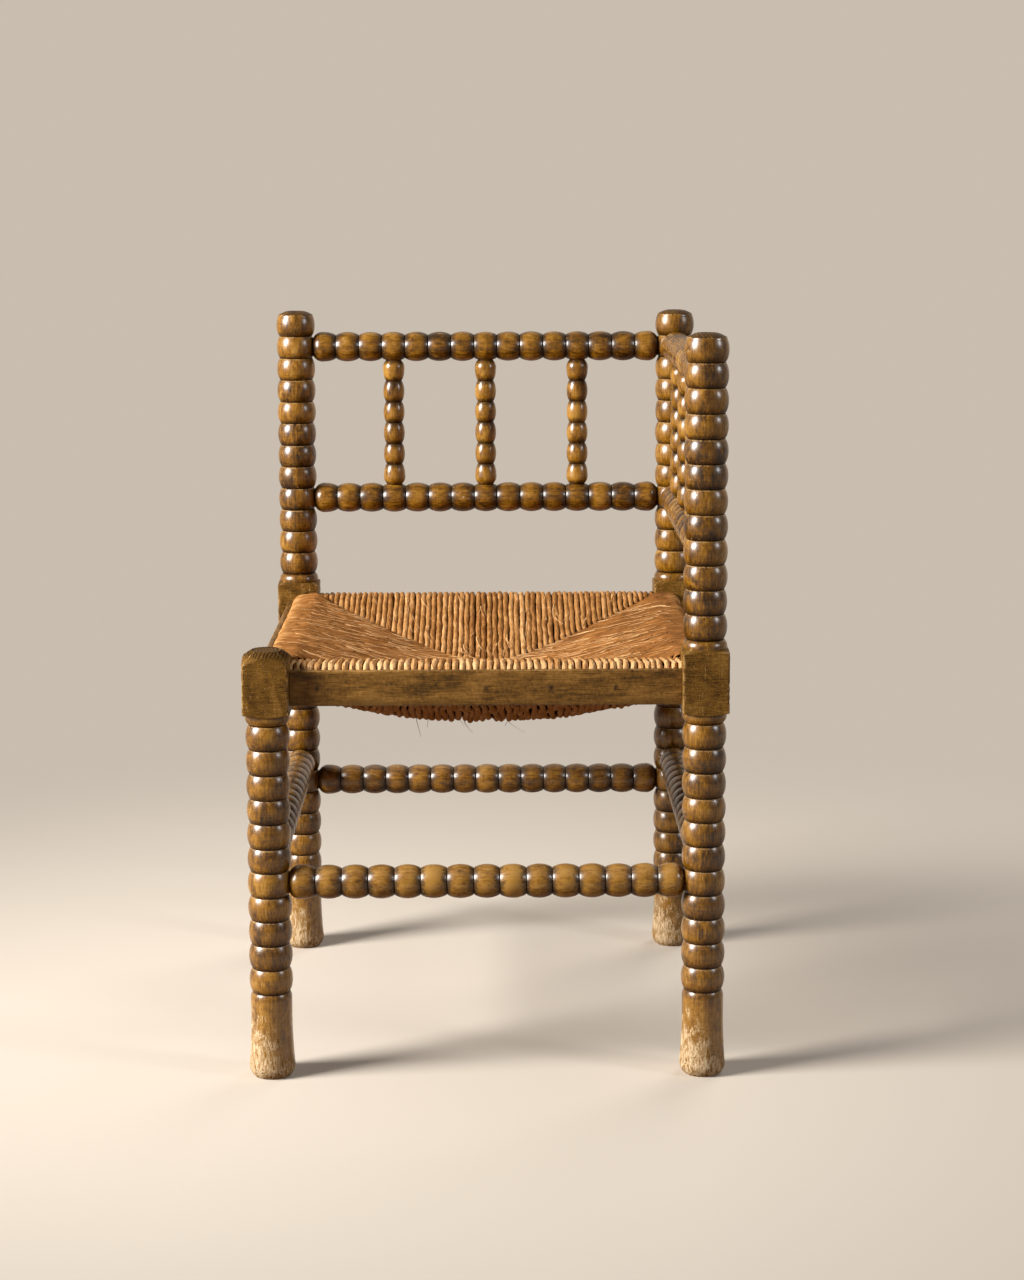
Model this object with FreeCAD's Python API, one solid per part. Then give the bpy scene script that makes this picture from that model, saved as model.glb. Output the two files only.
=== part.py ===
import FreeCAD, Part
import math
import os
from collections import namedtuple

# A corner chair of bobbin-turned wood with a woven rush seat. Millimetres, +Z up. Seen from the front, +X is
# to the right and +Y to the back. The origin is on the floor, midway between the four posts. The backs stand
# on the back side and on the right side, and the front left post stops at the seat.

# Plan, centre to centre of the posts
POST_SPACING_X = 412.0
POST_SPACING_Y = 412.0

# Turned posts, from the floor up
FOOT_HEIGHT = 82.5
FOOT_TOE_DIAMETER = 36.0
FOOT_SWELL_DIAMETER = 43.4
FOOT_SWELL_HEIGHT = 13.0
FOOT_WAIST_DIAMETER = 39.8
FOOT_WAIST_HEIGHT = 46.0
POST_BEAD_DIAMETER = 41.8
POST_BEAD_PITCH = 23.6
POST_GROOVE_DEPTH = 3.3
LOWER_BEAD_COUNT = 11
UPPER_BEAD_COUNT = 11
RING_HEIGHT = 9.0
NECK_HEIGHT = 9.0
TOP_BEAD_HEIGHT = 27.0
TOP_FLAT_DIAMETER = 28.6

# Square seat blocks on the posts, with turned shoulders
BLOCK_SIDE = 44.0
BLOCK_HEIGHT = 62.0
BLOCK_SHOULDER_DROP = 3.6
DOME_DROP = 5.2

# Form of every bead: the share of its length that each rounded shoulder takes, the share of the groove's
# depth by which the crown stands above the shoulders, and the share of a shoulder's rise reached halfway
BEAD_SHOULDER = 0.2
BEAD_CROWN = 0.31
BEAD_SHOULDER_RISE = 0.58

# Beaded rails of the two backs, and the stretchers. The bead of a post that carries each is counted from the
# end of its row.
RAIL_BEAD_COUNT = 15
RAIL_BEAD_DIAMETER = 32.4
RAIL_GROOVE_DEPTH = 3.6
RAIL_END_DIAMETER = 18.0
RAIL_TENON_DIAMETER = 13.0
RAIL_TENON_LENGTH = 20.0
TOP_RAIL_COUNT_DOWN = 1
LOWER_RAIL_COUNT_UP = 4
FRONT_STRETCHER_COUNT_DOWN = 7
SIDE_STRETCHER_COUNT_DOWN = 6

# Spindles between the two rails of a back
SPINDLE_RAIL_BEADS = (4, 8, 12)
SPINDLE_BEAD_COUNT = 6
SPINDLE_BEAD_DIAMETER = 23.2
SPINDLE_GROOVE_DEPTH = 3.1
SPINDLE_END_DIAMETER = 15.0
SPINDLE_TENON_DIAMETER = 9.0
SPINDLE_TENON_LENGTH = 11.0

# Flats where a shoulder seats on a bead, cut down from its crown and kept short of the grooves
POST_FLAT_DEPTH = 2.2
RAIL_FLAT_DEPTH = 1.9
FLAT_MARGIN = 0.7

# Joints
SHOULDER_ROOM = 0.15
TENON_CLEARANCE = 0.1
MORTISE_END_GAP = 0.5
TENON_WEB = 2.0

# Seat rails inside the rush
SEAT_RAIL_WIDTH = 20.0
SEAT_RAIL_HEIGHT = 28.0
SEAT_RAIL_ROUND = 5.0
SEAT_RAIL_ROUND_SHARE = 0.45
SEAT_RAIL_INSET = 12.0
SEAT_RAIL_DROP = 2.1
SEAT_TENON_DIAMETER = 12.0
SEAT_TENON_LENGTH = 15.0

# Rush seat
RUSH_THICKNESS = 6.0
RUSH_RIM_ROUND = 8.0
RUSH_DISH = 40.0
RUSH_SAG = 55.0
RUSH_CLEARANCE = 0.3
STUFFING_CENTRE_GAP = 14.0

# Edging strips and their nails
STRIP_HEIGHT = 34.0
STRIP_THICKNESS = 6.0
STRIP_DROP = 2.5
STRIP_END_CLEARANCE = 0.3
NAIL_PLACES = (-0.86, 0.0, 0.33, 0.66)
NAIL_DIAMETER = 1.6
NAIL_HEAD_DIAMETER = 3.4
NAIL_HEAD_THICKNESS = 0.8
NAIL_BITE = 9.0

# Worked out from the sizes above
HALF_X = POST_SPACING_X / 2
HALF_Y = POST_SPACING_Y / 2
POST_RADIUS = POST_BEAD_DIAMETER / 2
POST_GROOVE_RADIUS = POST_RADIUS - POST_GROOVE_DEPTH
POST_FLAT = POST_RADIUS - POST_FLAT_DEPTH
LOWER_TOP = FOOT_HEIGHT + LOWER_BEAD_COUNT * POST_BEAD_PITCH
BLOCK_BOTTOM = LOWER_TOP + RING_HEIGHT
BLOCK_TOP = BLOCK_BOTTOM + BLOCK_HEIGHT
UPPER_START = BLOCK_TOP + NECK_HEIGHT
UPPER_TOP = UPPER_START + UPPER_BEAD_COUNT * POST_BEAD_PITCH
POST_TOP = UPPER_TOP + TOP_BEAD_HEIGHT
TOP_ROUND_HEIGHT = TOP_BEAD_HEIGHT / 3
RING_RADIUS = min(BLOCK_SIDE / 2, POST_RADIUS)
CORNER_RADIUS = BLOCK_SIDE / 2 * math.sqrt(2) + 1
RAIL_RADIUS = RAIL_BEAD_DIAMETER / 2
RAIL_GROOVE_RADIUS = RAIL_RADIUS - RAIL_GROOVE_DEPTH
RAIL_FLAT = RAIL_RADIUS - RAIL_FLAT_DEPTH
CORNER_TENON_LENGTH = POST_FLAT - RAIL_TENON_DIAMETER / 2 - TENON_WEB
TOP_RAIL_Z = UPPER_TOP - (TOP_RAIL_COUNT_DOWN - 0.5) * POST_BEAD_PITCH
LOWER_RAIL_Z = UPPER_START + (LOWER_RAIL_COUNT_UP - 0.5) * POST_BEAD_PITCH
FRONT_STRETCHER_Z = LOWER_TOP - (FRONT_STRETCHER_COUNT_DOWN - 0.5) * POST_BEAD_PITCH
SIDE_STRETCHER_Z = LOWER_TOP - (SIDE_STRETCHER_COUNT_DOWN - 0.5) * POST_BEAD_PITCH
SEAT_RAIL_Z = BLOCK_BOTTOM + BLOCK_HEIGHT / 2 - SEAT_RAIL_DROP
SEAT_TENON_SHIFT = (SEAT_TENON_DIAMETER + TENON_WEB) / 2
RIM_TOP = SEAT_RAIL_Z + SEAT_RAIL_HEIGHT / 2 + RUSH_THICKNESS
RIM_BOTTOM = SEAT_RAIL_Z - SEAT_RAIL_HEIGHT / 2 - RUSH_THICKNESS
RAIL_FACE = SEAT_RAIL_WIDTH / 2 - SEAT_RAIL_INSET
RUSH_FACE = RAIL_FACE + RUSH_THICKNESS

# The turned sticks that are joined to others by a drawn-in shoulder and a round tenon
Turning = namedtuple("Turning", "beads radius groove end_radius tenon_radius")
RAIL = Turning(
    RAIL_BEAD_COUNT,
    RAIL_RADIUS,
    RAIL_GROOVE_RADIUS,
    RAIL_END_DIAMETER / 2,
    RAIL_TENON_DIAMETER / 2,
)
SPINDLE = Turning(
    SPINDLE_BEAD_COUNT,
    SPINDLE_BEAD_DIAMETER / 2,
    SPINDLE_BEAD_DIAMETER / 2 - SPINDLE_GROOVE_DEPTH,
    SPINDLE_END_DIAMETER / 2,
    SPINDLE_TENON_DIAMETER / 2,
)
SPINDLE_LENGTH = TOP_RAIL_Z - LOWER_RAIL_Z - 2 * RAIL_FLAT

VERTICAL = FreeCAD.Vector(0, 0, 1)
ACROSS = FreeCAD.Vector(1, 0, 0)
SIDES = ("front", "right", "back", "left")


def point(radius, height):
    """A point of a profile in the XZ plane."""
    return FreeCAD.Vector(radius, 0, height)


def arc(start, middle, end):
    return Part.Arc(point(*start), point(*middle), point(*end)).toShape()


def line(start, end):
    return Part.makeLine(point(*start), point(*end))


def side_turn(side):
    """The turn in degrees from the front of the rectangular plan to one of its sides, round the vertical."""
    return SIDES.index(side) * 360 / len(SIDES)


def revolve(edges):
    """A solid of revolution about Z from profile edges that start and end on the axis."""
    face = Part.Face(Part.Wire(edges))
    return face.revolve(FreeCAD.Vector(), VERTICAL, 360)


def shoulder(groove, z_groove, crown, z_crown):
    """A rounded quarter from the bottom of a groove out to a plain turned length."""
    bend = math.sqrt(0.5)
    middle = (groove + (crown - groove) * bend, z_groove + (z_crown - z_groove) * (1 - bend))
    return arc((groove, z_groove), middle, (crown, z_crown))


def bead_shoulder(groove, z_groove, crown, z_crown):
    """The rounding from the bottom of a groove out to the flatter crown of a bead."""
    middle = (groove + (crown - groove) * BEAD_SHOULDER_RISE, (z_groove + z_crown) / 2)
    return arc((groove, z_groove), middle, (crown, z_crown))


def bead(low, high, radius, groove):
    """One bead: two rounded shoulders and a gently crowned middle."""
    crown = radius - (radius - groove) * BEAD_CROWN
    z_low = low + (high - low) * BEAD_SHOULDER
    z_high = high - (high - low) * BEAD_SHOULDER
    return [
        bead_shoulder(groove, low, crown, z_low),
        arc((crown, z_low), (radius, (low + high) / 2), (crown, z_high)),
        bead_shoulder(groove, high, crown, z_high),
    ]


def end_bead(groove_end, drawn_end, radius, groove, end_radius):
    """The last bead of a stick, its outer half drawn in like half an egg to the shoulder of the tenon."""
    crown = radius - (radius - groove) * BEAD_CROWN
    middle = (groove_end + drawn_end) / 2
    z_crown = groove_end + (drawn_end - groove_end) * BEAD_SHOULDER
    halfway = (radius - (radius - crown) / 4, (z_crown + middle) / 2)
    return [
        bead_shoulder(groove, groove_end, crown, z_crown),
        arc((crown, z_crown), halfway, (radius, middle)),
        shoulder(end_radius, drawn_end, radius, middle),
    ]


def bead_row(start, count, pitch, radius, groove):
    """The edges of a row of equal beads upwards from start."""
    edges = []
    for index in range(count):
        low = start + index * pitch
        edges += bead(low, low + pitch, radius, groove)
    return edges


def foot_edges():
    """The plain foot: rounded toe, slight swell, slight waist and a rounded shoulder."""
    toe = FOOT_TOE_DIAMETER / 2
    swell = FOOT_SWELL_DIAMETER / 2
    neck = POST_RADIUS - POST_GROOVE_DEPTH * BEAD_CROWN
    neck_height = FOOT_HEIGHT - POST_BEAD_PITCH * BEAD_SHOULDER
    bend = math.sqrt(0.5)
    toe_middle = (toe + (swell - toe) * bend, FOOT_SWELL_HEIGHT * (1 - bend))
    waist = (FOOT_WAIST_DIAMETER / 2, FOOT_WAIST_HEIGHT)
    return [
        line((0, 0), (toe, 0)),
        arc((toe, 0), toe_middle, (swell, FOOT_SWELL_HEIGHT)),
        arc((swell, FOOT_SWELL_HEIGHT), waist, (neck, neck_height)),
        shoulder(POST_GROOVE_RADIUS, FOOT_HEIGHT, neck, neck_height),
    ]


def lower_post():
    """Foot, lower beads and the half bead under the seat block."""
    edges = foot_edges()
    edges += bead_row(FOOT_HEIGHT, LOWER_BEAD_COUNT, POST_BEAD_PITCH, POST_RADIUS, POST_GROOVE_RADIUS)
    edges.append(shoulder(POST_GROOVE_RADIUS, LOWER_TOP, RING_RADIUS, BLOCK_BOTTOM))
    edges += [line((RING_RADIUS, BLOCK_BOTTOM), (0, BLOCK_BOTTOM)), line((0, BLOCK_BOTTOM), (0, 0))]
    return revolve(edges)


def upper_post():
    """The half bead above the seat block, the upper beads and the rounded top bead."""
    flat = TOP_FLAT_DIAMETER / 2
    crown = POST_RADIUS - POST_GROOVE_DEPTH * BEAD_CROWN
    low = UPPER_TOP + POST_BEAD_PITCH * BEAD_SHOULDER
    high = POST_TOP - TOP_ROUND_HEIGHT
    edges = [line((0, BLOCK_TOP), (RING_RADIUS, BLOCK_TOP))]
    edges.append(shoulder(POST_GROOVE_RADIUS, UPPER_START, RING_RADIUS, BLOCK_TOP))
    edges += bead_row(UPPER_START, UPPER_BEAD_COUNT, POST_BEAD_PITCH, POST_RADIUS, POST_GROOVE_RADIUS)
    edges += [
        bead_shoulder(POST_GROOVE_RADIUS, UPPER_TOP, crown, low),
        arc((crown, low), (POST_RADIUS, (low + high) / 2), (crown, high)),
        shoulder(flat, POST_TOP, crown, high),
        line((flat, POST_TOP), (0, POST_TOP)),
        line((0, POST_TOP), (0, BLOCK_TOP)),
    ]
    return revolve(edges)


def seat_block(domed):
    """The square block, its corners turned down at both ends, with a dome on the short post."""
    low_corner = BLOCK_BOTTOM + BLOCK_SHOULDER_DROP
    edges = [line((0, BLOCK_BOTTOM), (RING_RADIUS, BLOCK_BOTTOM))]
    edges.append(line((RING_RADIUS, BLOCK_BOTTOM), (CORNER_RADIUS, low_corner)))
    if domed:
        flat = TOP_FLAT_DIAMETER / 2
        side = (BLOCK_SIDE / 2, BLOCK_TOP - DOME_DROP)
        corner = (CORNER_RADIUS, BLOCK_TOP - 2 * DOME_DROP - BLOCK_SHOULDER_DROP)
        edges += [line((CORNER_RADIUS, low_corner), corner), arc(corner, side, (flat, BLOCK_TOP))]
        edges.append(line((flat, BLOCK_TOP), (0, BLOCK_TOP)))
    else:
        corner = (CORNER_RADIUS, BLOCK_TOP - BLOCK_SHOULDER_DROP)
        edges += [line((CORNER_RADIUS, low_corner), corner), line(corner, (RING_RADIUS, BLOCK_TOP))]
        edges.append(line((RING_RADIUS, BLOCK_TOP), (0, BLOCK_TOP)))
    edges.append(line((0, BLOCK_TOP), (0, BLOCK_BOTTOM)))
    corner_place = FreeCAD.Vector(-BLOCK_SIDE / 2, -BLOCK_SIDE / 2, BLOCK_BOTTOM)
    square = Part.makeBox(BLOCK_SIDE, BLOCK_SIDE, BLOCK_HEIGHT, corner_place)
    return revolve(edges).common(square)


def joint_cut(turning, length, depth, flat, host_radius, host_pitch):
    """What a stick's end takes from a beaded host along Z, on the host's +X side.

    That is a flat for the shoulder on one bead of the host, the mortise for the tenon, and room for the
    drawn-in end of the stick between the neighbouring beads.
    """
    tall = host_pitch - 2 * FLAT_MARGIN
    low_corner = FreeCAD.Vector(flat, -host_radius, -tall / 2)
    flat_cut = Part.makeBox(host_radius, 2 * host_radius, tall, low_corner)
    reach = depth + MORTISE_END_GAP
    start = FreeCAD.Vector(flat - reach, 0, 0)
    bore = Part.makeCylinder(turning.tenon_radius + TENON_CLEARANCE, reach + host_radius, start, ACROSS)
    end = turning.end_radius + SHOULDER_ROOM
    full = turning.radius + SHOULDER_ROOM
    out = length / turning.beads / 2
    edges = [line((0, 0), (end, 0)), shoulder(end, 0, full, out), line((full, out), (0, out))]
    drawn_end = lay_along_x(revolve(edges + [line((0, out), (0, 0))]))
    drawn_end.translate(FreeCAD.Vector(flat, 0, 0))
    return flat_cut.multiFuse([bore, drawn_end])


def rail_length(side):
    """The length of a rail or stretcher between the flats of its two posts."""
    return side_span(side)[0] - 2 * POST_FLAT


def post_joint(side, height, depth):
    """The seat of a rail or stretcher on the bead of a post that faces one side of the chair."""
    run = "front" if side in ("left", "right") else "left"
    cut = joint_cut(RAIL, rail_length(run), depth, POST_FLAT, POST_RADIUS, POST_BEAD_PITCH)
    cut.rotate(FreeCAD.Vector(), VERTICAL, side_turn(side) - side_turn("right"))
    cut.translate(FreeCAD.Vector(0, 0, height))
    return cut


def stick(turning, length, low_tenon, high_tenon):
    """A beaded stick along Z: shoulders at 0 and length, a round tenon beyond each."""
    beads, radius, groove, end, tenon = turning
    pitch = length / beads
    edges = [
        line((0, -low_tenon), (tenon, -low_tenon)),
        line((tenon, -low_tenon), (tenon, 0)),
        line((tenon, 0), (end, 0)),
    ]
    edges += end_bead(pitch, 0, radius, groove, end)[::-1]
    edges += bead_row(pitch, beads - 2, pitch, radius, groove)
    edges += end_bead(length - pitch, length, radius, groove, end)
    edges += [
        line((end, length), (tenon, length)),
        line((tenon, length), (tenon, length + high_tenon)),
        line((tenon, length + high_tenon), (0, length + high_tenon)),
        line((0, length + high_tenon), (0, -low_tenon)),
    ]
    return revolve(edges)


def lay_along_x(shape):
    """Lay a stick down from Z to X, so that its own +X side faces down."""
    shape.rotate(FreeCAD.Vector(), FreeCAD.Vector(0, 1, 0), 90)
    return shape


def side_span(side):
    """The run of a side, centre to centre of its posts, and its distance from the middle of the chair."""
    along_x = side in ("front", "back")
    spacing = POST_SPACING_X if along_x else POST_SPACING_Y
    away = HALF_Y if along_x else HALF_X
    return spacing, away


def place_on_side(shape, side):
    """Move a shape modelled on the front side, with its outside towards -Y, to another side."""
    shape.rotate(FreeCAD.Vector(), VERTICAL, side_turn(side))
    return shape


def back_rail(side, height, spindle_turn):
    """A rail of a back, its flats for the spindles turned down or up, its tenon short in the corner post."""
    length = rail_length(side)
    pitch = length / RAIL_BEAD_COUNT
    low_tenon = CORNER_TENON_LENGTH if side == "back" else RAIL_TENON_LENGTH
    high_tenon = RAIL_TENON_LENGTH if side == "back" else CORNER_TENON_LENGTH
    rail = stick(RAIL, length, low_tenon, high_tenon)
    for number in SPINDLE_RAIL_BEADS:
        cut = joint_cut(SPINDLE, SPINDLE_LENGTH, SPINDLE_TENON_LENGTH, RAIL_FLAT, RAIL_RADIUS, pitch)
        cut.rotate(FreeCAD.Vector(), VERTICAL, spindle_turn)
        cut.translate(FreeCAD.Vector(0, 0, (number - 0.5) * pitch))
        rail = rail.cut(cut)
    rail = lay_along_x(rail)
    rail.translate(FreeCAD.Vector(-length / 2, -side_span(side)[1], height))
    return place_on_side(rail, side)


def stretcher(side, height):
    length = rail_length(side)
    piece = lay_along_x(stick(RAIL, length, RAIL_TENON_LENGTH, RAIL_TENON_LENGTH))
    piece.translate(FreeCAD.Vector(-length / 2, -side_span(side)[1], height))
    return place_on_side(piece, side)


def spindle(side, number):
    """A spindle between the flats of the lower and the top rail, at one bead of the rails."""
    length = rail_length(side)
    piece = stick(SPINDLE, SPINDLE_LENGTH, SPINDLE_TENON_LENGTH, SPINDLE_TENON_LENGTH)
    across = (number - 0.5) * length / RAIL_BEAD_COUNT - length / 2
    piece.translate(FreeCAD.Vector(across, -side_span(side)[1], LOWER_RAIL_Z + RAIL_FLAT))
    return place_on_side(piece, side)


def seat_tenon(side):
    """How far a seat rail's tenons stand above or below its middle, so that they pass at a corner."""
    return SEAT_TENON_SHIFT if side in ("front", "back") else -SEAT_TENON_SHIFT


def seat_tenon_bar(side, length, radius):
    """The round bar that both tenons of a seat rail lie on, on the front side."""
    away = side_span(side)[1]
    place = FreeCAD.Vector(-length / 2, SEAT_RAIL_INSET - away, SEAT_RAIL_Z + seat_tenon(side))
    return Part.makeCylinder(radius, length, place, ACROSS)


def seat_rail_body(side):
    """The rounded bar of a seat rail between its two blocks, on the front side."""
    spacing, away = side_span(side)
    length = spacing - BLOCK_SIDE
    low = FreeCAD.Vector(-length / 2, -away - RAIL_FACE, SEAT_RAIL_Z - SEAT_RAIL_HEIGHT / 2)
    bar = Part.makeBox(length, SEAT_RAIL_WIDTH, SEAT_RAIL_HEIGHT, low)
    long_edges = [edge for edge in bar.Edges if abs(edge.Length - length) < length * 1e-6]
    largest = min(SEAT_RAIL_WIDTH, SEAT_RAIL_HEIGHT) * SEAT_RAIL_ROUND_SHARE
    return bar.makeFillet(min(SEAT_RAIL_ROUND, largest), long_edges)


def seat_rail(side):
    length = side_span(side)[0] - BLOCK_SIDE + 2 * SEAT_TENON_LENGTH
    rail = seat_rail_body(side).fuse(seat_tenon_bar(side, length, SEAT_TENON_DIAMETER / 2))
    return place_on_side(rail.removeSplitter(), side)


def seat_mortise(side):
    """The bores of one seat rail's tenons, ready to be cut from both of its posts."""
    length = side_span(side)[0] - BLOCK_SIDE + 2 * (SEAT_TENON_LENGTH + MORTISE_END_GAP)
    bar = seat_tenon_bar(side, length, SEAT_TENON_DIAMETER / 2 + TENON_CLEARANCE)
    return place_on_side(bar, side)


def edging_strip(side):
    """The thin board outside the rush between two blocks, on the front side."""
    spacing, away = side_span(side)
    length = spacing - BLOCK_SIDE - 2 * STRIP_END_CLEARANCE
    low_z = SEAT_RAIL_Z - STRIP_DROP - STRIP_HEIGHT / 2
    low = FreeCAD.Vector(-length / 2, -away - RUSH_FACE - STRIP_THICKNESS, low_z)
    return Part.makeBox(length, STRIP_THICKNESS, STRIP_HEIGHT, low)


def side_nails(side):
    """The nails of one strip, through strip and rush into the seat rail, heads flush."""
    spacing, away = side_span(side)
    half = (spacing - BLOCK_SIDE) / 2
    outside = -away - RUSH_FACE - STRIP_THICKNESS
    inwards = FreeCAD.Vector(0, 1, 0)
    length = STRIP_THICKNESS + RUSH_THICKNESS + NAIL_BITE
    nails = []
    for share in NAIL_PLACES:
        place = FreeCAD.Vector(share * half, outside, SEAT_RAIL_Z - STRIP_DROP)
        shank = Part.makeCylinder(NAIL_DIAMETER / 2, length, place, inwards)
        head = Part.makeCylinder(NAIL_HEAD_DIAMETER / 2, NAIL_HEAD_THICKNESS, place, inwards)
        nails.append(place_on_side(shank.fuse(head).removeSplitter(), side))
    return nails


def bowl_edges(half, rim_z, depth):
    """Half of a dished or sagging line: straight from the rim, then an arc level at the middle."""
    bend = half / 2
    bend_drop = depth / 3
    middle_z = rim_z - depth
    radius = (bend ** 2 + bend_drop ** 2) / (2 * bend_drop)
    halfway = (bend / 2, middle_z + radius - math.sqrt(radius ** 2 - bend ** 2 / 4))
    turn = (bend, middle_z + bend_drop)
    return [line((half, rim_z), turn), arc(turn, halfway, (0, middle_z))]


def seat_section(away):
    """The section of one rush panel from the rim to the middle of the seat, as a face in XZ."""
    half = away - SEAT_RAIL_INSET - SEAT_RAIL_WIDTH / 2
    outer = away + RUSH_FACE
    turn = RUSH_RIM_ROUND
    bend = turn * (1 - math.sqrt(0.5))
    edges = bowl_edges(half, RIM_TOP, RUSH_DISH)
    edges.append(line((0, RIM_TOP - RUSH_DISH), (0, RIM_BOTTOM - RUSH_SAG)))
    edges += bowl_edges(half, RIM_BOTTOM, RUSH_SAG)[::-1]
    edges += [
        line((half, RIM_BOTTOM), (outer - turn, RIM_BOTTOM)),
        arc((outer - turn, RIM_BOTTOM), (outer - bend, RIM_BOTTOM + bend), (outer, RIM_BOTTOM + turn)),
        line((outer, RIM_BOTTOM + turn), (outer, RIM_TOP - turn)),
        arc((outer, RIM_TOP - turn), (outer - bend, RIM_TOP - bend), (outer - turn, RIM_TOP)),
        line((outer - turn, RIM_TOP), (half, RIM_TOP)),
    ]
    return Part.Face(Part.Wire(Part.__sortEdges__(edges)))


def pocket_section(away, room):
    """The section of the pocket between the upper and the lower layer of rush, smaller all round by room."""
    half = away - SEAT_RAIL_INSET - SEAT_RAIL_WIDTH / 2 - room
    top = RIM_TOP - RUSH_THICKNESS - room
    bottom = RIM_BOTTOM + RUSH_THICKNESS + room
    edges = bowl_edges(half, top, RUSH_DISH)
    edges.append(line((0, top - RUSH_DISH), (0, bottom - RUSH_SAG)))
    edges += bowl_edges(half, bottom, RUSH_SAG)[::-1]
    edges.append(line((half, bottom), (half, top)))
    return Part.Face(Part.Wire(Part.__sortEdges__(edges)))


def between_mitres(section, side, centre_gap):
    """A section run along the front side and cut by the two mitres, then moved to its own side."""
    spacing, away = side_span(side)
    section.rotate(FreeCAD.Vector(), VERTICAL, -90)
    section.translate(FreeCAD.Vector(-spacing, 0, 0))
    bar = section.extrude(FreeCAD.Vector(2 * spacing, 0, 0))
    slope = (spacing - BLOCK_SIDE) / (2 * away - BLOCK_SIDE)
    far = 2 * away
    tip = FreeCAD.Vector(0, -centre_gap, 0)
    right = tip + FreeCAD.Vector(far * slope, -far, 0)
    left = tip + FreeCAD.Vector(-far * slope, -far, 0)
    outline = Part.makePolygon([tip, right, left, tip])
    wedge = Part.Face(outline).extrude(FreeCAD.Vector(0, 0, POST_TOP))
    return place_on_side(bar.common(wedge), side)


def rush_panel(side):
    return between_mitres(seat_section(side_span(side)[1]), side, 0)


def rush_pocket(side, room):
    """The space of one side's stuffing, which keeps clear of the crossing layers along the mitres."""
    return between_mitres(pocket_section(side_span(side)[1], room), side, STUFFING_CENTRE_GAP + room)


def post_places():
    """The four posts: plan place, and the sides on which rails and stretchers come in."""
    return {
        "front_left": (-HALF_X, -HALF_Y, ("right", "back")),
        "front_right": (HALF_X, -HALF_Y, ("left", "back")),
        "back_left": (-HALF_X, HALF_Y, ("right", "front")),
        "back_right": (HALF_X, HALF_Y, ("left", "front")),
    }


def rail_tenons(name):
    """The sides of a post that carry the rails of a back, and how deep their tenons go."""
    return {
        "front_left": {},
        "front_right": {"back": RAIL_TENON_LENGTH},
        "back_left": {"right": RAIL_TENON_LENGTH},
        "back_right": {"left": CORNER_TENON_LENGTH, "front": CORNER_TENON_LENGTH},
    }[name]


def corner_post(name, seat_mortises):
    """A whole post in its place, with every flat and mortise cut."""
    x, y, sides = post_places()[name]
    short = name == "front_left"
    post = lower_post().fuse(seat_block(short))
    if not short:
        post = post.fuse(upper_post())
    post = post.removeSplitter()
    for side in sides:
        height = FRONT_STRETCHER_Z if side in ("left", "right") else SIDE_STRETCHER_Z
        post = post.cut(post_joint(side, height, RAIL_TENON_LENGTH))
    for side, depth in rail_tenons(name).items():
        for height in (TOP_RAIL_Z, LOWER_RAIL_Z):
            post = post.cut(post_joint(side, height, depth))
    post.translate(FreeCAD.Vector(x, y, 0))
    return post.cut(seat_mortises)


def post_notches():
    """The squares that the seat blocks take out of the rush, with a little room."""
    side = BLOCK_SIDE + 2 * RUSH_CLEARANCE
    notches = []
    for x, y, _ in post_places().values():
        notches.append(Part.makeBox(side, side, POST_TOP, FreeCAD.Vector(x - side / 2, y - side / 2, 0)))
    return notches


def build():
    """All the pieces of the chair by name."""
    pieces = {}
    mortises = [seat_mortise(side) for side in SIDES]
    seat_mortises = mortises[0].multiFuse(mortises[1:])
    for name in post_places():
        pieces["post_" + name] = corner_post(name, seat_mortises)

    for name, side in {"back": "back", "side": "right"}.items():
        pieces[f"{name}_top_rail"] = back_rail(side, TOP_RAIL_Z, 0)
        pieces[f"{name}_lower_rail"] = back_rail(side, LOWER_RAIL_Z, 180)
        for count, number in enumerate(SPINDLE_RAIL_BEADS, start=1):
            pieces[f"{name}_spindle_{count}"] = spindle(side, number)

    for side in SIDES:
        height = FRONT_STRETCHER_Z if side in ("front", "back") else SIDE_STRETCHER_Z
        pieces[f"{side}_stretcher"] = stretcher(side, height)

    nails = [nail for side in SIDES for nail in side_nails(side)]
    nail_cut = Part.makeCompound(nails)
    rail_bodies = []
    for side in SIDES:
        rail_bodies.append(place_on_side(seat_rail_body(side), side))
        pieces[f"{side}_seat_rail"] = seat_rail(side).cut(nail_cut)
        pieces[f"{side}_edging_strip"] = place_on_side(edging_strip(side), side).cut(nail_cut)
    pieces["strip_nails"] = nail_cut

    for side in SIDES:
        panel = rush_panel(side)
        for cutter in post_notches() + rail_bodies + [rush_pocket(side, 0), nail_cut]:
            panel = panel.cut(cutter)
        pieces[f"{side}_rush_panel"] = panel
        pieces[f"{side}_stuffing"] = rush_pocket(side, RUSH_CLEARANCE)
    return pieces


def main():
    os.makedirs("parts", exist_ok=True)
    for name, shape in build().items():
        shape.exportStep(f"parts/{name}.step")
        print(name, len(shape.Solids), shape.isValid(), round(shape.Volume / 1000, 2), "cm3")


main()
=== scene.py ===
"""Looks of a bobbin-turned corner chair with a woven rush seat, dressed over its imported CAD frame."""
import logging
import math
from dataclasses import dataclass, field
from enum import Enum
from typing import Any

import bpy
import numpy as np
from mathutils import Matrix, Vector


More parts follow.
